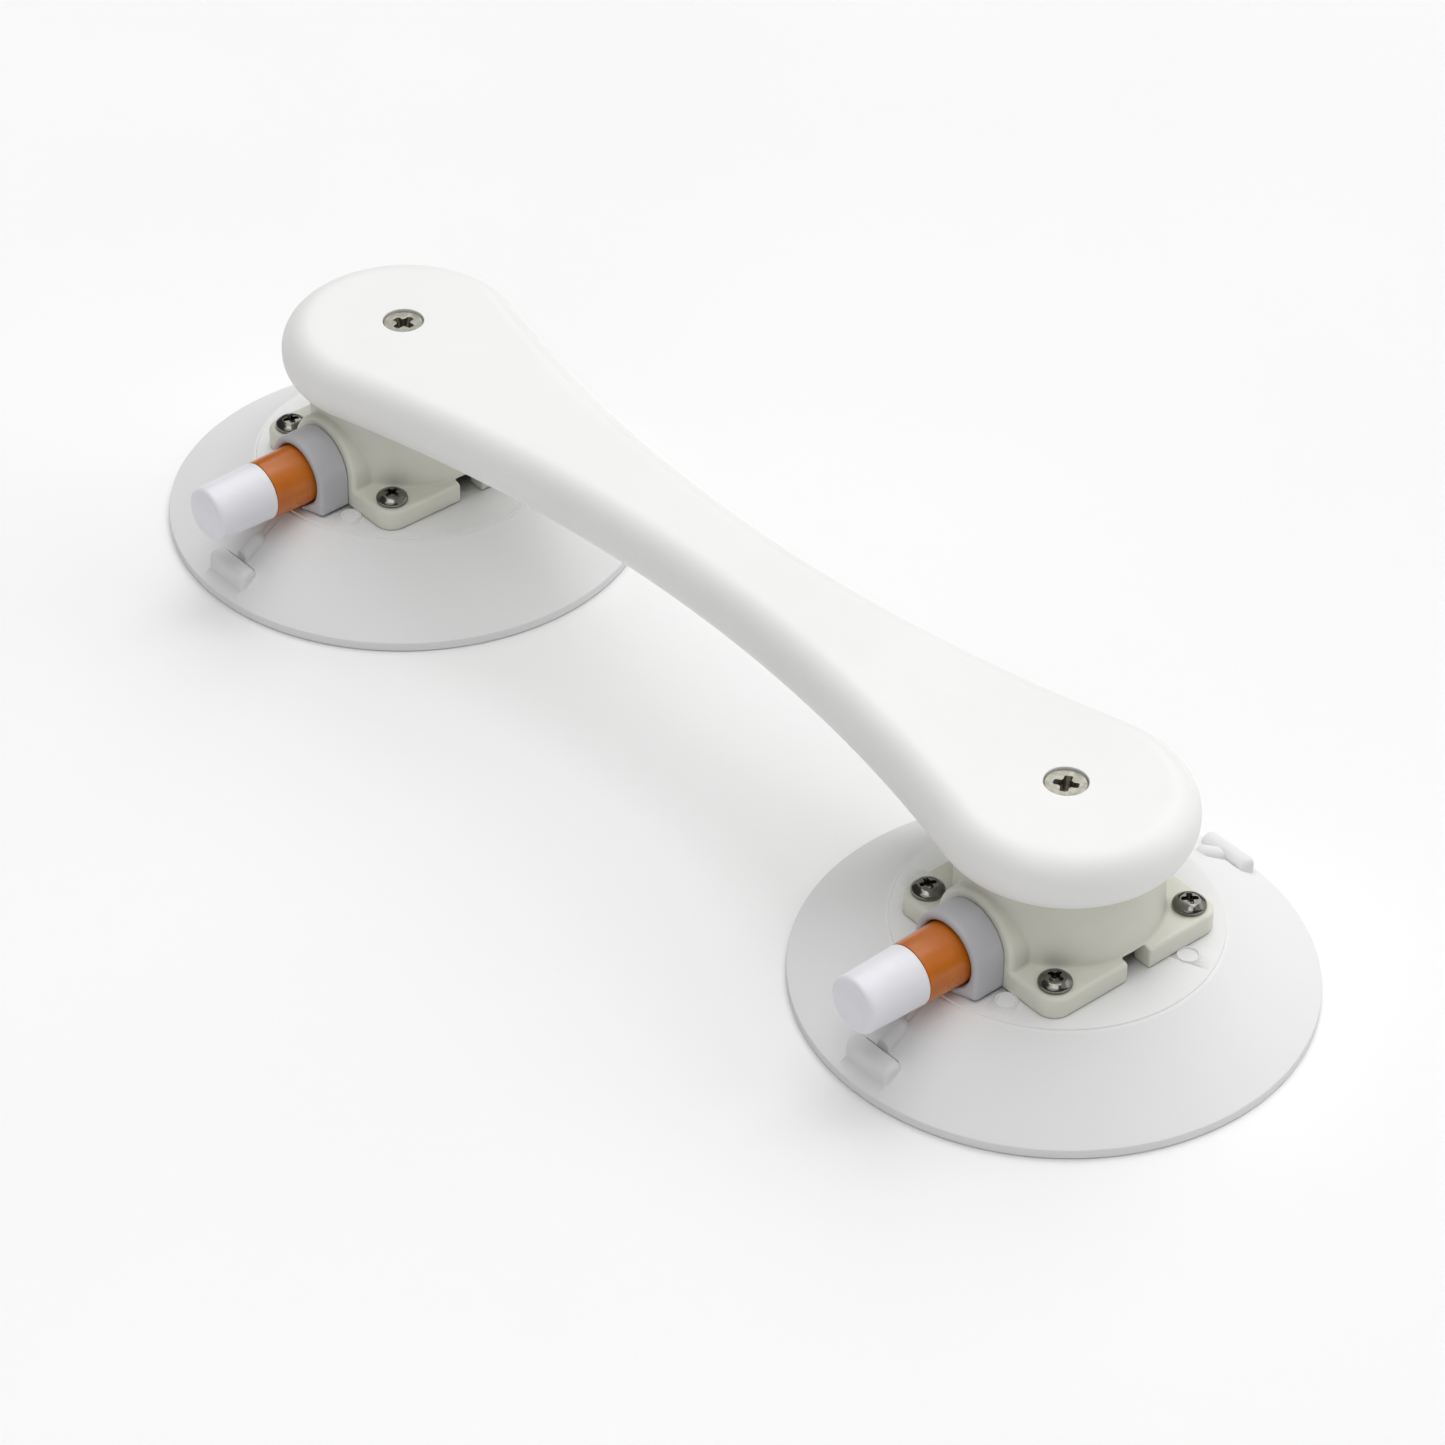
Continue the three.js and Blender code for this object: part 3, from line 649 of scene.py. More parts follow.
@dataclass(frozen=True)
class Finish:
    """What every finish shares: a name, two close colours and how rough it is."""

    name: str
    colour: str
    second_colour: str
    roughness: float
    cloud_mm: float = 30.0

    def material(self) -> bpy.types.Material:
        """Makes the material the first time that it is asked for."""
        found = bpy.data.materials.get(self.name)
        if found:
            return found
        material = bpy.data.materials.new(self.name)
        material.use_nodes = True
        tree = material.node_tree
        tree.nodes.clear()
        output = add_node(tree, "OutputMaterial")
        tree.links.new(self.shader(tree).outputs[0], output.inputs["Surface"])
        return material

    def shader(self, tree: bpy.types.NodeTree) -> bpy.types.Node:
        """Adds the finish's own nodes and returns its shader."""
        raise NotImplementedError

    def noise(self, tree: bpy.types.NodeTree, size_mm: float, detail: float = 2.0) -> bpy.types.NodeSocket:
        """A noise pattern of one size over the piece."""
        place = add_node(tree, "TexCoord").outputs["Object"]
        values = {"Vector": place, "Scale": per_metre(size_mm), "Detail": detail}
        return add_node(tree, "TexNoise", values).outputs["Fac"]

    def clouded(self, tree: bpy.types.NodeTree) -> bpy.types.NodeSocket:
        """The two colours mixed in soft clouds."""
        spread = add_node(
            tree, "MapRange", {"Value": self.noise(tree, self.cloud_mm, 3), 1: 0.35, 2: 0.65}
        )
        colours = {0: spread.outputs[0], 6: linear(self.colour), 7: linear(self.second_colour)}
        return add_node(tree, "Mix", colours, data_type="RGBA").outputs[2]

    def varied_roughness(
        self,
        tree: bpy.types.NodeTree,
        size_mm: float,
        share: float = 0.15,
    ) -> bpy.types.NodeSocket:
        """Roughness that wanders about its own value by a share of it."""
        low, high = self.roughness * (1 - share), self.roughness * (1 + share)
        values = {"Value": self.noise(tree, size_mm, 4), 1: 0.3, 2: 0.7, 3: low, 4: high}
        return add_node(tree, "MapRange", values).outputs[0]

    def edges(self, tree: bpy.types.NodeTree, width_mm: float) -> bpy.types.NodeSocket:
        """A mask that is 1 along edges: where a rounded normal leaves the true one."""
        soft = add_node(tree, "Bevel", {"Radius": width_mm * MM}, samples=4)
        true = add_node(tree, "NewGeometry")
        vectors = {0: soft.outputs[0], 1: true.outputs["Normal"]}
        along = add_node(tree, "VectorMath", vectors, operation="DOT_PRODUCT")
        values = {"Value": along.outputs["Value"], 1: 0.97, 2: 0.75, 3: 0.0, 4: 1.0}
        return add_node(tree, "MapRange", values).outputs[0]


@dataclass(frozen=True)
class MouldedPlastic(Finish):
    """Injection-moulded plastic: smooth, with faint orange peel, flow clouds, and edges made paler partly
    as rubbed wear and partly as a painted highlight.
    """

    edge_wear_and_highlight_colour: str = "#FFFFFF"
    edge_wear_and_highlight: float = 0.35
    peel_mm: float = 2.2
    peel_depth_mm: float = 0.006
    grain_mm: float = 0.7
    grain_depth_mm: float = 0.004
    edge_mm: float = 0.5
    glow: float = 0.12
    coat: float = 0.0

    def shader(self, tree: bpy.types.NodeTree) -> bpy.types.Node:
        """Colour clouds, paler edges that are partly rubbed wear and partly a painted highlight, orange
        peel with fine grain, and a little glow inside.
        """
        # The pale edge colour is mixed in along edges: partly rubbed wear, partly a painted highlight on
        # the roundings.
        wear_and_highlight_noise = add_node(
            tree, "MapRange", {"Value": self.noise(tree, 3.0, 4), 1: 0.35, 2: 0.7, 3: 0.0, 4: self.edge_wear_and_highlight}
        )
        mask = add_node(
            tree,
            "Math",
            {0: self.edges(tree, self.edge_mm), 1: wear_and_highlight_noise.outputs[0]},
            operation="MULTIPLY",
        )
        colours = {0: mask.outputs[0], 6: self.clouded(tree), 7: linear(self.edge_wear_and_highlight_colour)}
        colour = add_node(tree, "Mix", colours, data_type="RGBA").outputs[2]
        peel = add_node(
            tree,
            "Bump",
            {
                "Height": self.noise(tree, self.peel_mm, 1),
                "Distance": self.peel_depth_mm * MM,
                "Strength": 1.0,
            },
        )
        grain = add_node(
            tree,
            "Bump",
            {
                "Height": self.noise(tree, self.grain_mm, 2),
                "Distance": self.grain_depth_mm * MM,
                "Strength": 1.0,
                "Normal": peel.outputs[0],
            },
        )
        return add_node(
            tree,
            "BsdfPrincipled",
            {
                "Base Color": colour,
                "Roughness": self.varied_roughness(tree, 12.0),
                "IOR": 1.5,
                "Normal": grain.outputs[0],
                "Subsurface Weight": self.glow,
                "Subsurface Radius": (1.0, 0.9, 0.8),
                "Subsurface Scale": 1.5 * MM,
                "Coat Weight": self.coat,
                "Coat Roughness": 0.2,
            },
        )


@dataclass(frozen=True)
class MouldedRubber(Finish):
    """Cast soft rubber: light goes some way into it, so its shade stays bright and soft."""

    depth_mm: float = 4.0
    glow: float = 0.5
    grain_mm: float = 1.1
    grain_depth_mm: float = 0.012

    def shader(self, tree: bpy.types.NodeTree) -> bpy.types.Node:
        """Milky colour clouds, a satin skin with fine grain, and light carried inside."""
        waves = add_node(
            tree,
            "Bump",
            {"Height": self.noise(tree, 14.0, 2), "Distance": 0.08 * MM, "Strength": 1.0},
        )
        grain = add_node(
            tree,
            "Bump",
            {
                "Height": self.noise(tree, self.grain_mm, 3),
                "Distance": self.grain_depth_mm * MM,
                "Strength": 1.0,
                "Normal": waves.outputs[0],
            },
        )
        return add_node(
            tree,
            "BsdfPrincipled",
            {
                "Base Color": self.clouded(tree),
                "Roughness": self.varied_roughness(tree, 9.0, 0.2),
                "IOR": 1.43,
                "Normal": grain.outputs[0],
                "Subsurface Weight": self.glow,
                "Subsurface Radius": (1.0, 1.0, 0.95),
                "Subsurface Scale": self.depth_mm * MM,
            },
        )


@dataclass(frozen=True)
class TurnedMetal(Finish):
    """Metal turned on a lathe: fine rings about its axis, polished high spots and dull hollows."""

    ring_mm: float = 0.22
    ring_depth_mm: float = 0.004
    scratch_mm: float = 0.5

    def shader(self, tree: bpy.types.NodeTree) -> bpy.types.Node:
        """Turning rings, cross scratches and patches of dulled metal."""
        place = add_node(tree, "TexCoord").outputs["Object"]
        rings = add_node(
            tree,
            "TexWave",
            {"Vector": place, "Scale": per_metre(self.ring_mm) / 20, "Distortion": 1.5, "Detail": 2.0},
            wave_type="RINGS",
            rings_direction="Z",
        )
        cut = add_node(
            tree,
            "Bump",
            {"Height": rings.outputs["Fac"], "Distance": self.ring_depth_mm * MM, "Strength": 0.7},
        )
        scratches = add_node(
            tree,
            "Bump",
            {
                "Height": self.noise(tree, self.scratch_mm, 5),
                "Distance": self.ring_depth_mm * MM,
                "Strength": 0.8,
                "Normal": cut.outputs[0],
            },
        )
        return add_node(
            tree,
            "BsdfPrincipled",
            {
                "Base Color": self.clouded(tree),
                "Metallic": 1.0,
                "Roughness": self.varied_roughness(tree, 1.6, 0.4),
                "Normal": scratches.outputs[0],
            },
        )


@dataclass(frozen=True)
class RolledSheet(Finish):
    """Zinc-plated steel sheet: long rolling lines and soft crystal patches."""

    line_mm: float = 0.4

    def shader(self, tree: bpy.types.NodeTree) -> bpy.types.Node:
        """Lines drawn out along the bar, over plated patches."""
        place = add_node(tree, "TexCoord").outputs["Object"]
        stretched = add_node(tree, "Mapping", {"Vector": place, "Scale": (0.03, 1.0, 1.0)})
        lines = add_node(
            tree,
            "TexNoise",
            {"Vector": stretched.outputs[0], "Scale": per_metre(self.line_mm), "Detail": 3.0},
        )
        patches = add_node(tree, "TexVoronoi", {"Vector": place, "Scale": per_metre(5.0)})
        light = add_node(
            tree, "MapRange", {"Value": patches.outputs["Distance"], 1: 0.0, 2: 0.9, 3: 0.0, 4: 0.5}
        )
        colours = {0: light.outputs[0], 6: self.clouded(tree), 7: linear(self.second_colour)}
        smoothest, roughest = self.roughness * 0.8, self.roughness * 1.25
        rough = {"Value": lines.outputs["Fac"], 1: 0.3, 2: 0.7, 3: smoothest, 4: roughest}
        grooves = {"Height": lines.outputs["Fac"], "Distance": 0.01 * MM, "Strength": 0.5}
        return add_node(
            tree,
            "BsdfPrincipled",
            {
                "Base Color": add_node(tree, "Mix", colours, data_type="RGBA").outputs[2],
                "Metallic": 1.0,
                "Roughness": add_node(tree, "MapRange", rough).outputs[0],
                "Normal": add_node(tree, "Bump", grooves).outputs[0],
            },
        )


@dataclass(frozen=True)
class PressedFelt(Finish):
    """Pressed wool felt: matted fibres that catch light at their edges."""

    fibre_mm: float = 0.35

    def shader(self, tree: bpy.types.NodeTree) -> bpy.types.Node:
        """Tangled fibres as raised noise with a sheen."""
        fibres = self.noise(tree, self.fibre_mm, 6)
        return add_node(
            tree,
            "BsdfPrincipled",
            {
                "Base Color": self.clouded(tree),
                "Roughness": self.roughness,
                "Normal": add_node(
                    tree, "Bump", {"Height": fibres, "Distance": 0.2 * MM, "Strength": 1.0}
                ).outputs[0],
                "Sheen Weight": 0.4,
                "Sheen Roughness": 0.5,
            },
        )


# White ABS for the bar, moulded thick: clean, faintly satin, with soft broad highlights.
BAR_ABS = MouldedPlastic("abs_white_moulded", "#F0F0EE", "#EDEDEB", 0.42, 60.0)
# Translucent silicone rubber for the cups: milky grey-white, satin, never fully dark in shade.
CUP_SILICONE = MouldedRubber("silicone_translucent_moulded", "#DCDCDC", "#D3D3D1", 0.5, 25.0)
# Glass-filled nylon for the housings: creamy, slightly greenish white with a waxy surface.
HOUSING_NYLON = MouldedPlastic("nylon_cream_moulded", "#DDDDD1", "#D7D7CA", 0.45, 22.0, "#EDEDE5", glow=0.1)
# Lilac-grey acetal for the collars: dense and matt, a shade darker than the rest. Its near-white edge
# colour, laid on almost fully along the rounded edges, is a painted highlight on the collar's rim.
COLLAR_ACETAL = MouldedPlastic(
    "acetal_grey_moulded",
    "#BCBCC0",
    "#B7B7BB",
    0.5,
    12.0,
    "#F2EEF2",
    edge_wear_and_highlight=0.95,
    edge_mm=0.9,
    glow=0.05,
)
# White acetal for the plungers: cool white and smooth enough for a soft highlight.
PLUNGER_ACETAL = MouldedPlastic("acetal_white_moulded", "#E9E9EE", "#E3E3E9", 0.38, 14.0, glow=0.05)
# Orange ABS sleeve: deep warm colour with a satin highlight and faint draw marks.
BAND_ABS = MouldedPlastic("abs_orange_moulded", "#C26806", "#B86004", 0.3, 9.0, "#DC9440", glow=0.0)
# Black nitrile rubber for seals and valves: dark and matt.
SEAL_NITRILE = MouldedRubber("nitrile_black_moulded", "#232325", "#2B2B2D", 0.6, 6.0, 0.4, 0.0)
# Stainless steel pan-head screws, polished by tumbling: they mirror the room and the dark under the bar.
# Their colour is set far darker than bare stainless, which paints in part of that dark reflection.
SCREW_STAINLESS = TurnedMetal("stainless_tumbled", "#82817B", "#6E6C66", 0.16, 4.0)
# Stainless steel countersunk screws with a turned face: satin and a little warm.
BAR_SCREW_STAINLESS = TurnedMetal("stainless_turned", "#A3A197", "#8B897F", 0.34, 3.0, 0.3, 0.01)
# Spring wire, drawn: bright along its length with dull patches.
SPRING_WIRE = TurnedMetal("stainless_wire_drawn", "#B4B5B6", "#9C9D9E", 0.28, 5.0, 0.4)
# Brass inserts, turned and knurled: warm yellow with fine rings.
INSERT_BRASS = TurnedMetal("brass_turned", "#C9A24C", "#B58E3B", 0.28, 3.0)
# Zinc-plated steel for the backing plates: rolling lines under a grey bloom.
PLATE_STEEL = RolledSheet("steel_zinc_plated", "#B4B7BA", "#9CA0A4", 0.38, 12.0)
# Grey felt for the inlet filters.
FILTER_FELT = PressedFelt("felt_pressed", "#8E908F", "#7B7D7C", 0.95, 1.5)
# Matt white paint for the floor.
FLOOR_PAINT = MouldedPlastic("paint_white_rolled", "#F6F6F6", "#F4F4F4", 0.9, 300.0, edge_wear_and_highlight=0.0, glow=0.0)


# ---- Placing pieces ----


@dataclass(frozen=True)
class Place:
    """Where a piece belongs: its mount's centre and side."""

    side: Side | None = None
    centre_x: float = 0.0

    def name(self, base: str, end: str = "") -> str:
        """A piece's or node's name with its side."""
        return base + (f"_{self.side.value}" if self.side else "") + end

    def extent(self, node: str, end: str = "") -> Extent:
        """The box of one of this mount's nodes, about the mount's centre."""
        return Extent.of(self.name(node, end), self.centre_x)

    def put(
        self,
        base: str,
        node: str,
        mesh: bpy.types.Mesh,
        finish: Finish,
        body: str = "mount_frame",
        end: str = "",
    ) -> bpy.types.Object:
        """Adds one piece that stands for one CAD node.

        Args:
            base: The piece's name without its side.
            node: The CAD node's name without its side.
            mesh: The piece's mesh, about the mount's centre.
            finish: What it is made of.
            body: The body that it rides on.
            end: What follows the side in both names.

        Returns:
            The piece.
        """
        piece = bpy.data.objects.new(self.name(base, end), mesh)
        bpy.context.scene.collection.objects.link(piece)
        piece.location = (self.centre_x * MM, 0, 0)
        if not mesh.materials:
            mesh.materials.append(finish.material())
        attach(piece, body)
        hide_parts(self.name(node, end))
        LOG.info("%s: %d faces of %s", piece.name, len(mesh.polygons), finish.name)
        return piece


# ---- The bar ----


@dataclass
class GrabBar:
    """The dog-bone bar with a stepped screw hole at each end."""

    waist_half_width: float = 16.9
    edge_round: float = 9.2
    recess_radius: float = 6.4
    recess_lip: float = 0.3
    recess_depth: float = 1.6
    shank_radius: float = 3.4
    countersink_degrees: float = 41.0
    end_steps: int = 72
    waist_steps: int = 40
    round_steps: int = 12

    def outline(self, extent: Extent, inset: float, height: float) -> Array:
        """The bar's plan outline, drawn in by some distance.

        Args:
            extent: The bar's box.
            inset: How far inside its widest outline.
            height: The height of the points.

        Returns:
            A loop of points.
        """
        end_radius = extent.high.y
        reach = extent.high.x - end_radius
        narrowing = end_radius - self.waist_half_width
        waist_radius = (reach**2 + self.waist_half_width**2 - end_radius**2) / (2 * narrowing)
        waist_centre = self.waist_half_width + waist_radius
        lean = math.atan2(waist_centre, -reach)
        half = math.pi / 2 - math.atan2(waist_centre, reach)
        end, waist, quarter = end_radius - inset, waist_radius + inset, math.pi / 2
        arcs = (
            (reach, 0, end, -lean, lean, self.end_steps),
            (0, waist_centre, waist, -quarter + half, -quarter - half, self.waist_steps),
            (-reach, 0, end, math.pi - lean, math.pi + lean, self.end_steps),
            (0, -waist_centre, waist, quarter + half, quarter - half, self.waist_steps),
        )
        points = []
        for x, y, radius, first, last, steps in arcs:
            for i in range(steps):
                angle = first + (last - first) * i / steps
                points.append((x + radius * math.cos(angle), y + radius * math.sin(angle), height))
        return np.array(points)

    def wall(self, extent: Extent) -> list[Array]:
        """Loops from the bottom face round the full edge to the top face."""
        levels = [(self.edge_round + 1, extent.low.z)]
        for corner, start in ((extent.low.z + self.edge_round, -90), (extent.high.z - self.edge_round, 0)):
            for i in range(self.round_steps + 1):
                angle = math.radians(start + 90 * i / self.round_steps)
                inset = self.edge_round * (1 - math.cos(angle))
                levels.append((inset, corner + self.edge_round * math.sin(angle)))
        levels.append((self.edge_round + 1, extent.high.z))
        return [self.outline(extent, inset, height) for inset, height in levels]

    def hole(self, extent: Extent, centre_x: float) -> list[Array]:
        """Loops of a stepped screw hole from the bottom face to the top face."""
        seat = extent.high.z - self.recess_depth
        taper = (self.recess_radius - self.shank_radius) / math.tan(math.radians(self.countersink_degrees))
        lip = self.recess_lip
        profile = filleted(
            [
                (self.shank_radius + 2, extent.low.z),
                (self.shank_radius, extent.low.z, 0.4),
                (self.shank_radius, seat - taper, 0.3),
                (self.recess_radius, seat, 0.3),
                (self.recess_radius, extent.high.z, lip),
                (self.recess_radius + 2, extent.high.z),
            ]
        )
        return [ring((centre_x, 0), radius, height, 64) for radius, height in profile]

    def build(self, mounts: Sequence[Place]) -> None:
        """Builds the bar and puts it in its place.

        Args:
            mounts: The two mounts that it is screwed to.
        """
        extent = Extent.of("grab_bar")
        holes = [self.hole(extent, mount.centre_x) for mount in mounts]
        mesh = bored_mesh("bar_moulding", self.wall(extent), holes)
        Place().put("bar_moulding", "grab_bar", mesh, BAR_ABS)


# ---- Screws ----


@dataclass
class ScrewSet:
    """The countersunk screw of each bar end and the four pan-head screws of each flange."""

    bar_recess: PhillipsRecess = PhillipsRecess(7.2, 2.2, 4.2, 1.0)
    bar_thread: Thread = Thread(3.0, 0.55, 1.0)
    bar_rim: float = 0.5
    bar_head_degrees: float = 41.0
    bar_spin: dict[Side, float] = field(default_factory=lambda: {Side.LEFT: 10.0, Side.RIGHT: 33.0})
    flange_recess: PhillipsRecess = PhillipsRecess(5.2, 1.5, 2.4, 0.5)
    flange_thread: Thread = Thread(2.0, 0.4, 0.7)
    flange_head_height: float = 3.0
    flange_spins: tuple[float, ...] = (10.0, 55.0, 25.0, 70.0)

    def bar_screw(self, extent: Extent, spin: float) -> bpy.types.Mesh:
        """A countersunk screw with a flat turned face.

        Args:
            extent: The screw's box.
            spin: How far its recess is turned.

        Returns:
            The mesh.
        """
        head, top = extent.high.x, extent.high.z
        crest = self.bar_thread.crest_radius
        rim = top - self.bar_rim
        foot = rim - (head - crest) / math.tan(math.radians(self.bar_head_degrees))
        cone = revolved(
            [(0, foot - 1), (crest, foot - 1), (crest, foot), (head, rim), (head, top), (0, top)]
        )
        shank = self.bar_thread.solid(extent.low.z, foot)
        recess = self.bar_recess.solid(top).spun(spin)
        solid = cone.joined(shank, 0.3).cut(recess, 0.15)
        return SurfaceNet(0.2).mesh("countersunk_screw", solid, extent.low, extent.high)

    def flange_screw(self, extent: Extent, spin: float) -> bpy.types.Mesh:
        """A pan-head screw: a domed head over a thin straight rim.

        Args:
            extent: The screw's box.
            spin: How far its recess is turned.

        Returns:
            The mesh, about the screw's own axis.
        """
        head, top = (extent.high.x - extent.low.x) / 2, extent.high.z
        seat = top - self.flange_head_height
        profile = filleted(
            [
                (0, seat),
                (head - 0.1, seat, 0.1),
                (head, seat + 0.35, 0.3),
                (head, seat + 1.3, 1.5),
                (head - 1.9, top - 0.3, 2.5),
                (0, top),
            ]
        )
        dome = revolved(profile)
        shank = self.flange_thread.solid(extent.low.z, seat + 0.5)
        recess = self.flange_recess.solid(top).spun(spin)
        solid = dome.joined(shank, 0.2).cut(recess, 0.12)
        low = (-head, -head, extent.low.z)
        return SurfaceNet(0.18).mesh("pan_screw", solid, low, (head, head, top))

    def build(self, mount: Place) -> None:
        """Builds one mount's five screws.

        Args:
            mount: The mount that they belong to.
        """
        extent = mount.extent("handle_screw")
        mesh = self.bar_screw(extent, self.bar_spin[mount.side])
        mount.put("countersunk_screw", "handle_screw", mesh, BAR_SCREW_STAINLESS)
        for i, spin in enumerate(self.flange_spins, start=1):
            extent = mount.extent("flange_screw", f"_{i}")
            name = f"pan_screw_{i}"
            mesh = bpy.data.meshes.get(name)
            if mesh is None:
                mesh = self.flange_screw(extent, spin)
                mesh.name = name
            end = f"_{i}"
            piece = mount.put("pan_screw", "flange_screw", mesh, SCREW_STAINLESS, end=end)
            piece.location += Vector((extent.centre.x, extent.centre.y, 0)) * MM


# ---- The cup and what is clamped in it ----


@dataclass
class SuctionCup:
    """The rubber cone with its flat pad, thin sealing rim and two pull tabs."""

    radius: float = 76.2
    rim_height: float = 3.2
    seal_land: float = 2.8
    pad_radius: float = 47.8
    pad_top: float = 22.2
    pad_underside: float = 15.6
    pad_step: float = 0.45
    pocket_half_width: float = 9.3
    pocket_floor: float = 18.6
    pocket_front: float = -31.7
    pocket_rear: float = 17.3
    port_radius: float = 3.2
    port_y: float = 9.0
    screw_offset: float = 26.0
    screw_hole_radius: float = 2.3
    tab_radius: float = 69.2
    tab_length: float = 17.6
    tab_height: float = 9.1
    tab_bar_radius: float = 3.0
    stem_radius: float = 2.4
    stem_start: float = 59.0
    stem_overlap: float = 1.5
    crease_width: float = 0.5
    crease_depth: float = 1.3
    mark_radius: float = 3.1
    mark_distance: float = 39.3
    mark_degrees: float = 25.6
    bead_half_width: float = 0.4
    bead_height: float = 0.5

    @property
    def slope(self) -> float:
        """How steeply the cone falls, as an angle."""
        return math.atan2(self.pad_top - self.rim_height, self.radius - self.pad_radius)

    def cone_height(self, radius: float) -> float:
        """The height of the cone's outer face at a distance from the centre."""
        return self.rim_height + (self.radius - radius) * math.tan(self.slope)

    def shell(self) -> bpy.types.Mesh:
        """The cone, its pad and the hollow under it, turned as one."""
        land = self.radius - 0.5 - self.seal_land
        ceiling = self.pad_radius - 1
        profile = filleted(
            [
                (0, self.pad_underside),
                (ceiling, self.pad_underside, 2.0),
                (land + 2.6, 1.7, 1.2),
                (land, 0, 0.5),
                (self.radius - 0.1, 0, 0.5),
                (self.radius, self.rim_height - 0.1, 0.55),
                (self.radius - 0.8, self.rim_height + 0.45, 0.5),
                (self.pad_radius + 0.9, self.cone_height(self.pad_radius + 0.9), 1.5),
                (self.pad_radius, self.pad_top - self.pad_step, 0.2),
                (self.pad_radius - 0.2, self.pad_top, 0.2),
                (0, self.pad_top),
            ]
        )
        return turned_mesh("cup_rubber", profile, 224)

    def tab(self) -> bpy.types.Mesh:
        """One pull tab towards +Y: a round-topped cross-bar near the rim and a round stem up the cone."""
        half, inner = self.tab_length / 2, self.crease_edge
        sunk = self.tab_radius - self.stem_overlap
        foot = np.array((0, sunk, self.cone_height(sunk)))
        crest = np.array((0, self.stem_start, self.cone_height(self.stem_start)))

        def bar(p: Array) -> Array:
            """Distance to a round-topped bar along X with rounded ends."""
            rise = np.maximum(p[:, 2] - self.tab_height, 0)
            across = np.hypot(p[:, 1] - self.tab_radius, rise) - self.tab_bar_radius
            return -round_min(-across, half - np.abs(p[:, 0]), 1.7)

        def stem(p: Array) -> Array:
            """Distance to a round-ended rod from foot to crest."""
            share = np.clip((p - foot) @ (crest - foot) / ((crest - foot) @ (crest - foot)), 0, 1)
            return np.linalg.norm(p - foot - share[:, None] * (crest - foot), axis=1) - self.stem_radius

        hollow = revolved(
            [
                (0, -10),
                (self.radius - 1.6, -10),
                (self.radius - 1.6, 1.2),
                (self.pad_radius, self.cone_height(self.pad_radius) - 2.5),
                (0, self.pad_top - 2.5),
            ]
        )
        trench = pressed(rectangle(half, 1.0, 0.3), self.crease_floor, 30).at(y=inner + 1.0)
        solid = Solid(stem).cut(trench, 0.2).joined(Solid(bar), 0.2).cut(hollow)
        low = (-half, self.stem_start - self.stem_radius, 0)
        high = (half, self.tab_radius + self.tab_bar_radius, self.cone_height(self.stem_start) + 3)
        return SurfaceNet(0.36).mesh("tab", solid.kept(above(0.6)), low, high)

    @property
    def crease_edge(self) -> float:
        """How far from the centre the trench behind a cross-bar starts."""
        return self.tab_radius - self.tab_bar_radius - self.crease_width

    @property
    def crease_floor(self) -> float:
        """The height of the trench's floor."""
        return self.cone_height(self.crease_edge) - self.crease_depth

    def crease(self, turn: float) -> bpy.types.Mesh:
        """The cutter for the narrow trench between the cone and a cross-bar.

        Args:
            turn: Where the tab stands round the cup, in degrees.

        Returns:
            The cutter.
        """
        half, inner = self.tab_length / 2 - 0.8, self.crease_edge
        plan = [(-half, inner + 1.4), (-half + 1.4, inner), (half - 1.4, inner), (half, inner + 1.4)]
        plan += [(half, self.tab_radius), (-half, self.tab_radius)]
        floor = self.crease_floor
        loops = [np.array([(x, y, z) for x, y in reversed(plan)]) for z in (floor, floor + 9)]
        mesh = bored_mesh("crease", loops, [])
        mesh.transform(Matrix.Rotation(math.radians(turn), 4, "Z"))
        return mesh

    def marks(self) -> list[bpy.types.Mesh]:
        """Four small raised rings that the mould leaves on the pad."""
        found = []
        for i in range(4):
            angle = math.radians(self.mark_degrees + 90 * i)
            bead = [
                (
                    self.mark_radius + self.bead_half_width * math.cos(math.radians(a)),
                    self.pad_top + self.bead_height * math.sin(math.radians(a)),
                )
                for a in range(0, 360, 30)
            ]
            mesh = turned_mesh("mark", bead, 48)
            x, y = self.mark_distance * math.cos(angle), self.mark_distance * math.sin(angle)
            mesh.transform(Matrix.Translation((x * MM, y * MM, 0)))
            found.append(mesh)
        return found

    def cutters(self) -> list[bpy.types.Mesh]:
        """The pocket for the housing's keel, the air port and the screw holes."""
        low, high = self.pad_underside - 2, self.pad_top + 2
        middle = (self.pocket_front + self.pocket_rear) / 2
        half = (self.pocket_rear - self.pocket_front) / 2
        corners = [(-1, -1), (1, -1), (1, 1), (-1, 1)]
        plan = filleted([(x * self.pocket_half_width, y * half + middle, 1.0) for x, y in corners], True)
        loops = [np.array([(x, y, z) for x, y in plan]) for z in (self.pocket_floor, high)]
        found = [bored_mesh("pocket", loops, [])]
        spots = [(0, self.port_y, self.port_radius)]
        offset, hole = self.screw_offset, self.screw_hole_radius
        spots += [(x * offset, y * offset, hole) for x, y in corners]
        for x, y, radius in spots:
            found.append(bored_mesh("bore", [ring((x, y), radius, z, 32) for z in (low, high)], []))
        return found

    def mesh(self) -> bpy.types.Mesh:
        """The whole cup as one closed mesh, made once for both sides."""
        found = bpy.data.meshes.get("cup_rubber")
        if found:
            return found
        mesh = self.shell()
        for turn in (0, 180):
            mesh = combined(mesh, self.crease(turn), Cutting.CUT)
            tab = self.tab()
            tab.transform(Matrix.Rotation(math.radians(turn), 4, "Z"))
            mesh = combined(mesh, tab, Cutting.JOIN)
        for mark in self.marks():
            mesh = combined(mesh, mark, Cutting.JOIN)
        for cutter in self.cutters():
            mesh = combined(mesh, cutter, Cutting.CUT)
        return finished(mesh, math.radians(24))

    def build(self, mount: Place) -> None:
        """Puts the cup under one mount."""
        mount.put("cup_rubber", "suction_cup", self.mesh(), CUP_SILICONE)


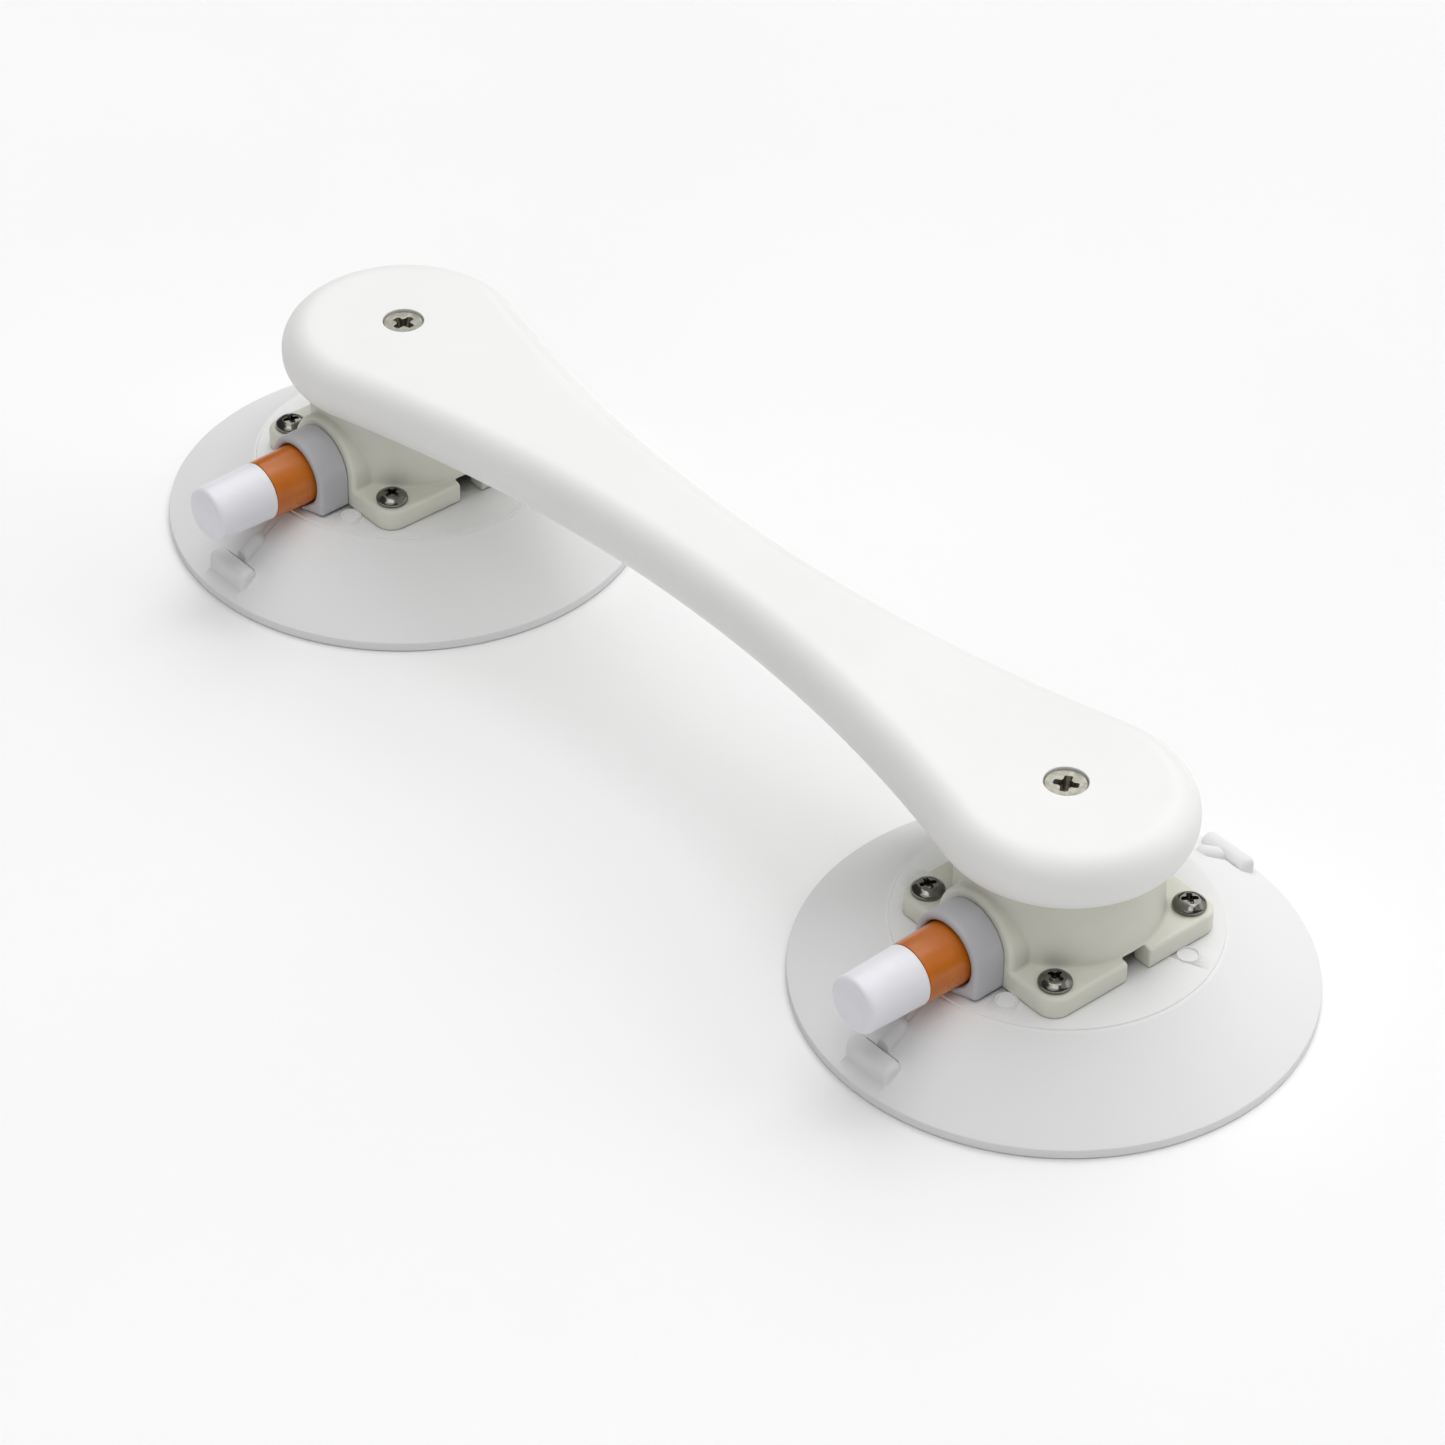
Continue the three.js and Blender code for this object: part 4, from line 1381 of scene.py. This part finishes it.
@dataclass
class BackingPlate:
    """The steel disc inside the cup, with its air port, filter seat and screw holes."""

    edge_round: float = 0.7
    port_radius: float = 3.2
    port_y: float = 9.0
    seat_radius: float = 6.2
    seat_depth: float = 1.2
    thread_radius: float = 2.15
    screw_offset: float = 26.0
    filter_round: float = 0.25

    def plate(self, extent: Extent) -> bpy.types.Mesh:
        """The disc with rounded rim and dressed holes.

        Args:
            extent: The plate's box.

        Returns:
            The mesh.
        """
        radius, low, high = extent.high.x, extent.low.z, extent.high.z
        soft = self.edge_round
        rim = filleted(
            [(radius - 2, low), (radius, low, soft), (radius, high, soft), (radius - 2, high)]
        )
        wall = [ring((0, 0), r, z, 160) for r, z in rim]
        seat = low + self.seat_depth
        port = filleted(
            [
                (self.seat_radius + 0.6, low),
                (self.seat_radius, low, 0.2),
                (self.seat_radius, seat, 0.15),
                (self.port_radius, seat, 0.2),
                (self.port_radius, high, 0.3),
                (self.port_radius + 0.6, high),
            ]
        )
        holes = [[ring((0, self.port_y), r, z, 40) for r, z in port]]
        thread = filleted(
            [
                (self.thread_radius + 1, low),
                (self.thread_radius, low, 0.3),
                (self.thread_radius, high, 0.3),
                (self.thread_radius + 1, high),
            ]
        )
        for x in (-1, 1):
            for y in (-1, 1):
                spot = (x * self.screw_offset, y * self.screw_offset)
                holes.append([ring(spot, r, z, 32) for r, z in thread])
        return bored_mesh("clamp_plate", wall, holes)

    def filter_disc(self, extent: Extent) -> bpy.types.Mesh:
        """A felt disc with a soft, slightly crowned edge."""
        radius = (extent.high.x - extent.low.x) / 2
        low, high = extent.low.z, extent.high.z
        soft = self.filter_round
        profile = filleted([(0, low), (radius, low, soft), (radius, high, soft), (0, high)])
        mesh = turned_mesh("felt_filter", profile, 64)
        mesh.transform(Matrix.Translation((0, self.port_y * MM, 0)))
        return mesh

    def build(self, mount: Place) -> None:
        """Puts the plate and its filter under one mount."""
        plate = bpy.data.meshes.get("clamp_plate") or self.plate(mount.extent("backing_plate"))
        mount.put("clamp_plate", "backing_plate", plate, PLATE_STEEL)
        felt = bpy.data.meshes.get("felt_filter") or self.filter_disc(mount.extent("inlet_filter"))
        mount.put("felt_filter", "inlet_filter", felt, FILTER_FELT)


# ---- The pump housing ----


@dataclass
class PumpHousing:
    """The moulding that carries the pump: flange, round boss, barrel and keel."""

    flange_corner: float = 6.0
    flange_thickness: float = 6.8
    flange_round: float = 1.3
    flange_base: float = 22.4
    boss_radius: float = 30.0
    boss_fillet: float = 1.3
    hollow_radius: float = 26.6
    hollow_ceiling: float = 47.4
    notch_width: float = 8.6
    notch_height: float = 6.9
    axis_height: float = 32.5
    barrel_radius: float = 15.3
    barrel_rear: float = 17.0
    bore_radius: float = 10.6
    bore_end: float = 13.5
    socket_radius: float = 11.75
    socket_depth: float = 2.8
    mouth_round: float = 1.5
    keel_half_width: float = 9.0
    screw_offset: float = 26.0
    screw_hole_radius: float = 2.3
    insert_radius: float = 4.95
    insert_base: float = 44.6
    valve_y: float = 9.0
    valve_floor: float = 22.7

    def shell(self, extent: Extent) -> Solid:
        """The outside of the housing with its boss still full."""
        half = extent.high.x
        plan = rectangle(half, half, self.flange_corner)
        flange_top = self.flange_base + self.flange_thickness
        flange = pressed(plan, 0, flange_top, self.flange_round)
        boss = pressed(disc(self.boss_radius), 0, extent.high.z, 0.5)
        body = flange.joined(boss, self.boss_fillet)
        front = extent.low.y
        barrel = pressed(arch(self.barrel_radius, -20), front, 0, self.mouth_round, Axis.PUMP)
        face = Solid(lambda p: front - p[:, 1])
        body = body.joined(barrel.at(z=self.axis_height), 0.6).kept(face).kept(above(self.flange_base), 0.2)
        keel = pressed(rectangle(self.keel_half_width, 24.2, 1.0), extent.low.z, self.flange_base + 1, 0.4)
        return body.joined(keel.at(y=self.barrel_rear - 24.2))

    def hollow(self) -> Solid:
        """The space under the boss, less the barrel, the screw post and the rib that cross it."""
        space = pressed(disc(self.hollow_radius), 0, self.hollow_ceiling, 1.0)
        barrel = pressed(arch(self.barrel_radius - 1, -20), -40, self.barrel_rear, 0.5, Axis.PUMP)
        post = pressed(disc(self.insert_radius + 2.9), self.axis_height, 60)
        rib = pressed(rectangle(1.2, 15, 0.0), 0, 60).at(y=15)
        core = barrel.at(z=self.axis_height).joined(post, 1.0).joined(rib, 0.8)
        return space.cut(core, 0.3)

    def bores(self, extent: Extent) -> Solid:
        """The pump bore with its socket, flat floor and valve holes."""
        front = extent.low.y
        bore = pressed(disc(self.bore_radius), front - 5, self.bore_end, axis=Axis.PUMP)
        bore = bore.at(z=self.axis_height)
        floor = pressed(rectangle(9, 6, 0.5), 0, self.valve_floor).at(y=self.valve_y + 1.8)
        socket = pressed(disc(self.socket_radius), front - 5, front + self.socket_depth, axis=Axis.PUMP)
        space = bore.cut(floor, 0.2).joined(socket.at(z=self.axis_height))
        holes = pressed(disc(1.45), 0, self.valve_floor + 1)
        for i in range(4):
            angle = math.radians(45 + 90 * i)
            hole = pressed(disc(0.6), 0, self.valve_floor + 1)
            holes = holes.joined(hole.at(2.4 * math.cos(angle), 2.4 * math.sin(angle)))
        return space.joined(holes.at(y=self.valve_y))

    def solid(self, extent: Extent) -> Solid:
        """The whole housing.

        Args:
            extent: The housing's box.

        Returns:
            The solid.
        """
        notch_top = self.flange_base + self.notch_height
        bar = pressed(rectangle(60, self.notch_width / 2), 0, notch_top, 0.3)
        notch = bar.cut(pressed(rectangle(self.hollow_radius - 4, 20), -10, 60))
        insert = pressed(disc(self.insert_radius), self.insert_base, 60)
        whole = self.shell(extent).cut(self.hollow(), 0.3).cut(notch, 0.45)
        whole = whole.cut(self.bores(extent), 0.25).cut(insert, 0.3)
        for x in (-1, 1):
            for y in (-1, 1):
                hole = pressed(disc(self.screw_hole_radius), 0, 60)
                whole = whole.cut(hole.at(x * self.screw_offset, y * self.screw_offset), 0.3)
        return whole

    def build(self, mount: Place) -> None:
        """Builds one mount's housing, or puts the one already made on the other side too."""
        mesh = bpy.data.meshes.get("housing_moulding")
        if mesh is None:
            extent = mount.extent("pump_housing")
            mesh = SurfaceNet(0.55).mesh("housing_moulding", self.solid(extent), extent.low, extent.high)
        mount.put("housing_moulding", "pump_housing", mesh, HOUSING_NYLON)


@dataclass
class ThreadedInsert:
    """The brass insert in the boss that the bar screw turns into."""

    bore_radius: float = 3.3
    knurls: int = 28
    knurl_depth: float = 0.25

    def solid(self, extent: Extent) -> Solid:
        """A knurled sleeve with a groove round its middle and a threaded bore."""
        outer, low, high = extent.high.x, extent.low.z, extent.high.z
        middle = (low + high) / 2

        def knurled(u: Array, v: Array) -> Array:
            """Distance to a round outline with straight knurling."""
            teeth = np.abs(np.sin(np.arctan2(v, u) * self.knurls / 2))
            return (np.hypot(u, v) - outer + self.knurl_depth * (1 - teeth)) * 0.8

        floor, lower, upper = outer - 0.6, middle - 0.7, middle + 0.7
        groove = revolved([(floor, lower), (9, lower), (9, upper), (floor, upper)])
        thread = Thread(self.bore_radius + 0.2, 0.5, 1.0).solid(low - 3, high + 3)
        return pressed(knurled, low, high, 0.3).cut(groove, 0.1).cut(thread, 0.15)

    def build(self, mount: Place) -> None:
        """Puts the insert in one mount's boss."""
        mesh = bpy.data.meshes.get("brass_insert")
        if mesh is None:
            extent = mount.extent("threaded_insert")
            mesh = SurfaceNet(0.18).mesh("brass_insert", self.solid(extent), extent.low, extent.high)
        mount.put("brass_insert", "threaded_insert", mesh, INSERT_BRASS)


# ---- The pump ----


@dataclass
class Collar:
    """The grey collar that closes the barrel: an arch on a foot that reaches forward, bored through."""

    radius: float = 12.7
    corner_height: float = 23.1
    toe_half_width: float = 4.4
    foot_reach: float = 1.6
    foot_height: float = 3.0
    edge_round: float = 1.3
    bore_radius: float = 10.1
    mouth_round: float = 1.1
    spigot_radius: float = 11.6
    spigot_length: float = 2.75
    axis_height: float = 32.5

    def solid(self, extent: Extent) -> Solid:
        """The collar with its spigot.

        Args:
            extent: The collar's box.

        Returns:
            The solid.
        """
        corner = self.corner_height - self.axis_height
        toe = extent.low.z - self.axis_height
        body_rear = extent.high.y - self.spigot_length
        plan = self.outline(corner, toe)
        front = extent.low.y + self.foot_reach
        slab = pressed(plan, front, body_rear + 4, self.edge_round, Axis.PUMP)
        half = self.radius - 1
        tip, reach = self.toe_half_width, extent.low.y
        tips = [(-half, front + 1), (-tip, reach), (tip, reach)]
        plan = polygon([*tips, (half, front + 1), (half, front + 3), (-half, front + 3)])
        foot = pressed(plan, toe, toe + self.foot_height)
        back = Solid(lambda p: p[:, 1] - body_rear)
        body = slab.joined(foot, 1.0).kept(back, 0.25)
        spigot = pressed(disc(self.spigot_radius), body_rear - 2, extent.high.y, 0.3, Axis.PUMP)
        spigot = spigot.kept(Solid(lambda p: toe - p[:, 2]))
        bore = pressed(disc(self.bore_radius), extent.low.y - 5, extent.high.y + 5, axis=Axis.PUMP)
        return body.joined(spigot, 0.3).cut(bore, self.mouth_round).at(z=self.axis_height)

    def outline(self, corner: float, toe: float) -> Outline:
        """A round top over two sloping faces that meet the flat toe under the bore.

        Args:
            corner: Where the straight sides end, relative to the bore's axis.
            toe: Where the toe lies.

        Returns:
            The outline.
        """
        run, rise = self.radius - self.toe_half_width, corner - toe
        length = math.hypot(run, rise)

        def distance(u: Array, v: Array) -> Array:
            """How far a point lies outside the arch, its sloping faces or its toe."""
            top = np.hypot(u, np.maximum(v, 0)) - self.radius
            sloping = ((np.abs(u) - self.radius) * rise - (v - corner) * run) / length
            feet = -round_min(-sloping, -(toe - v), 0.8)
            return -round_min(-top, -feet, 0.8)

        return distance

    def build(self, mount: Place) -> None:
        """Puts the collar on one mount's barrel."""
        mesh = bpy.data.meshes.get("collar_moulding")
        if mesh is None:
            extent = mount.extent("cylinder_collar")
            mesh = SurfaceNet(0.34).mesh("collar_moulding", self.solid(extent), extent.low, extent.high)
        mount.put("collar_moulding", "cylinder_collar", mesh, COLLAR_ACETAL)


@dataclass
class Pump:
    """What moves in the barrel: plunger, orange band, seal and spring, with the valve behind."""

    axis_height: float = 32.5
    tip_radius: float = 8.8
    tip_round: float = 1.9
    band_front_radius: float = 9.3
    band_wall: float = 1.0
    band_front: float = -57.1
    head_front: float = -29.7
    seal_front: float = -28.2
    seal_rear: float = -25.2
    groove_radius: float = 8.0
    pocket_radius: float = 6.6
    pocket_end: float = -54.0
    spring_radius: float = 5.5
    wire_radius: float = 0.6
    spring_turns: float = 9.0
    valve_stem: float = 1.2

    def plunger(self, extent: Extent) -> bpy.types.Mesh:
        """The tapered grip, the core inside the band and the grooved piston head."""
        tip, rear, head = extent.low.y, extent.high.y, extent.high.x
        core = self.band_front_radius - self.band_wall - 0.15
        shoulder = self.band_front - 0.15
        profile = filleted(
            [
                (0, tip),
                (self.tip_radius, tip, self.tip_round),
                (self.band_front_radius - 0.02, shoulder, 0.25),
                (core, shoulder),
                (core, self.head_front),
                (head, self.head_front, 0.4),
                (head, self.seal_front, 0.15),
                (self.groove_radius, self.seal_front),
                (self.groove_radius, self.seal_rear),
                (head, self.seal_rear, 0.15),
                (head, rear, 0.4),
                (self.pocket_radius, rear, 0.4),
                (self.pocket_radius, self.pocket_end, 0.5),
                (0, self.pocket_end),
            ]
        )
        return turned_mesh("plunger_moulding", profile, 112, Axis.PUMP, self.axis_height)

    def band(self, extent: Extent) -> bpy.types.Mesh:
        """The orange sleeve that shows when the vacuum is lost."""
        front, rear, outer = extent.low.y, extent.high.y, extent.high.x
        inside = self.band_front_radius - self.band_wall
        profile = filleted(
            [
                (inside, front, 0.1),
                (self.band_front_radius, front, 0.22),
                (outer, -44.0, 2.0),
                (outer, rear, 0.3),
                (inside, rear, 0.1),
            ],
            True,
        )
        return turned_mesh("orange_band", profile, 112, Axis.PUMP, self.axis_height)

    def seal(self, extent: Extent) -> bpy.types.Mesh:
        """A ring of U section with soft lips."""
        front, rear, outside = extent.low.y, extent.high.y, extent.high.x
        inside = self.groove_radius + 0.15
        middle = (inside + outside) / 2
        profile = filleted(
            [
                (inside, front, 0.12),
                (middle - 0.3, front, 0.1),
                (middle, rear - 1, 0.3),
                (middle + 0.3, front, 0.1),
                (outside, front, 0.12),
                (outside - 0.15, rear, 0.25),
                (inside, rear, 0.25),
            ],
            True,
        )
        return turned_mesh("lip_seal", profile, 96, Axis.PUMP, self.axis_height)

    def spring(self, extent: Extent) -> bpy.types.Mesh:
        """A coil spring with closed ends, as a swept round wire."""
        low, high = extent.low.y + self.wire_radius, extent.high.y - self.wire_radius
        sides, per_turn = 10, 36
        count = int(self.spring_turns * per_turn) + 1
        turns = np.linspace(0, self.spring_turns, count)
        ease = np.clip(np.minimum(turns, self.spring_turns - turns), 0, 1)
        rate = 2.05 * self.wire_radius + ease * 10
        along = np.concatenate(([0], np.cumsum((rate[1:] + rate[:-1]) / 2)))
        along = low + (high - low) * along / along[-1]
        angle = 2 * math.pi * turns
        radius = self.spring_radius
        centre = np.stack((radius * np.cos(angle), along, radius * np.sin(angle)), 1)
        tangent = np.gradient(centre, axis=0)
        tangent /= np.linalg.norm(tangent, axis=1, keepdims=True)
        outward = np.stack((np.cos(angle), np.zeros(count), np.sin(angle)), 1)
        outward -= tangent * np.sum(outward * tangent, axis=1, keepdims=True)
        outward /= np.linalg.norm(outward, axis=1, keepdims=True)
        across = np.cross(tangent, outward)
        form = bmesh.new()
        rows = []
        for spot, one, two in zip(centre, outward, across):
            row = []
            for i in range(sides):
                turn = 2 * math.pi * i / sides
                offset = self.wire_radius * (one * math.cos(turn) + two * math.sin(turn))
                row.append(form.verts.new((spot + offset + (0, 0, self.axis_height)) * MM))
            rows.append(row)
        for first, second in pairwise(rows):
            for i in range(sides):
                form.faces.new((first[i - 1], first[i], second[i], second[i - 1]))
        form.faces.new(rows[0])
        form.faces.new(rows[-1])
        bmesh.ops.recalc_face_normals(form, faces=form.faces)
        mesh = bpy.data.meshes.new("coil_spring")
        form.to_mesh(mesh)
        form.free()
        return finished(mesh, math.radians(50))

    def valve(self, extent: Extent) -> bpy.types.Mesh:
        """An umbrella valve: soft cap, stem and the bulb that holds it in its hole."""
        low, high, cap = extent.low.z, extent.high.z, extent.high.x
        seat = high - 1.3
        profile = filleted(
            [
                (0, low),
                (self.valve_stem * 0.6, low, 0.3),
                (self.valve_stem + 0.7, low + 1.8, 0.3),
                (self.valve_stem, low + 1.8, 0.1),
                (self.valve_stem, seat, 0.2),
                (cap - 0.3, seat, 0.1),
                (cap, seat + 0.35, 0.2),
                (cap * 0.55, high - 0.15, 2.0),
                (0, high),
            ]
        )
        mesh = turned_mesh("umbrella_valve", profile, 48)
        mesh.transform(Matrix.Translation((0, extent.centre.y * MM, 0)))
        return mesh

    def build(self, mount: Place) -> None:
        """Builds one mount's pump on its moving and fixed bodies.

        Args:
            mount: The mount that it belongs to.
        """
        slider = mount.name("plunger")
        parts = (
            ("plunger_moulding", "plunger", self.plunger, PLUNGER_ACETAL, "plunger_plastic", slider),
            ("orange_band", "indicator_band", self.band, BAND_ABS, "indicator_orange", slider),
            ("lip_seal", "piston_seal", self.seal, SEAL_NITRILE, "seal_rubber", slider),
            ("coil_spring", "return_spring", self.spring, SPRING_WIRE, "spring_steel", "mount_frame"),
            ("umbrella_valve", "check_valve", self.valve, SEAL_NITRILE, "seal_rubber", "mount_frame"),
        )
        for base, node, make, finish, slot, body in parts:
            extent = mount.extent(node)
            mesh = bpy.data.meshes.get(base) or make(extent)
            piece = mount.put(base, node, mesh, finish, body)
            if node == "return_spring":
                self.pack_spring(piece, mount)

    def pack_spring(self, piece: bpy.types.Object, mount: Place) -> None:
        """Gives this side's spring its own copy of its mesh; the plunger's slide joint is looked up but not
        used.
        """
        joint = next(j for j in frame["joints"] if j["name"] == mount.name("plunger", "_slide"))
        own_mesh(piece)


# ---- Studio ----


@dataclass
class Studio:
    """The pale floor, the soft lights and the camera."""

    azimuth: float = 48.91
    elevation: float = 38.01
    roll: float = -0.79
    lens_mm: float = 128.34
    camera_place: tuple[float, float, float] = (925.25, -803.05, 959.97)
    floor_radius: float = 6.0
    softness: float = 55.0

    def camera(self) -> None:
        """Sets the camera at its place and angles."""
        a, e, r = (math.radians(v) for v in (self.azimuth, self.elevation, self.roll))
        back = Vector((math.sin(a) * math.cos(e), -math.cos(a) * math.cos(e), math.sin(e)))
        right = (-back).cross(Vector((0, 0, 1))).normalized()
        up = back.cross(right)
        tilted_right = right * math.cos(r) - up * math.sin(r)
        tilted_up = right * math.sin(r) + up * math.cos(r)
        data = bpy.data.cameras.new("view")
        data.lens, data.sensor_width = self.lens_mm, 36.0
        camera = bpy.data.objects.new("view", data)
        bpy.context.scene.collection.objects.link(camera)
        turn = Matrix((tilted_right, tilted_up, back)).transposed()
        camera.matrix_world = Matrix.Translation(Vector(self.camera_place) * MM) @ turn.to_4x4()
        bpy.context.scene.camera = camera

    def floor(self) -> None:
        """Lays a broad pale disc under the cups."""
        form = bmesh.new()
        bmesh.ops.create_circle(form, cap_ends=True, radius=self.floor_radius, segments=96)
        mesh = bpy.data.meshes.new("floor")
        form.to_mesh(mesh)
        form.free()
        mesh.materials.append(FLOOR_PAINT.material())
        floor = bpy.data.objects.new("floor", mesh)
        bpy.context.scene.collection.objects.link(floor)
        floor.location.z = -0.0002

    def softbox(self, name: str, azimuth: float, elevation: float, strength: float) -> None:
        """Adds one very broad, distant white light.

        Args:
            name: The light's name.
            azimuth: Its direction round the object, in degrees from +X towards +Y.
            elevation: How high it stands, in degrees.
            strength: The light that it throws on a surface that faces it.
        """
        data = bpy.data.lights.new(name, "SUN")
        data.energy, data.angle = strength, math.radians(self.softness)
        lamp = bpy.data.objects.new(name, data)
        bpy.context.scene.collection.objects.link(lamp)
        a, e = math.radians(azimuth), math.radians(elevation)
        towards = Vector((math.cos(a) * math.cos(e), math.sin(a) * math.cos(e), math.sin(e)))
        lamp.rotation_euler = towards.to_track_quat("Z", "Y").to_euler()

    def light(self) -> None:
        """A dim white room with broad softboxes overhead, behind and at the front right."""
        world = bpy.data.worlds.new("room")
        world.use_nodes = True
        background = world.node_tree.nodes["Background"]
        background.inputs["Color"].default_value = linear("#FFFFFF")
        background.inputs["Strength"].default_value = 0.1
        bpy.context.scene.world = world
        self.softbox("overhead", 0, 90, 1.06)
        self.softbox("rear_left", 120, 50, 1.2)
        self.softbox("front_right", 300, 50, 0.7)
        self.softbox("rear_right", 60, 50, 0.34)
        self.softbox("low_rear", 67, 18, 0.58)
        bpy.context.scene.view_settings.view_transform = "Standard"

    def build(self) -> None:
        """Sets up the whole studio."""
        self.camera()
        self.floor()
        self.light()


def main() -> None:
    """Builds the studio, the bar and both mounts."""
    logging.basicConfig(level=logging.INFO, format="%(name)s: %(message)s", stream=sys.stdout)
    Studio().build()
    mounts = [Place(side, Extent.of(f"pump_housing_{side.value}").centre.x) for side in Side]
    GrabBar().build(mounts)
    makers = (SuctionCup(), BackingPlate(), PumpHousing(), ThreadedInsert(), Collar(), Pump(), ScrewSet())
    for mount in mounts:
        for maker in makers:
            maker.build(mount)


if __name__ == "__main__":
    main()
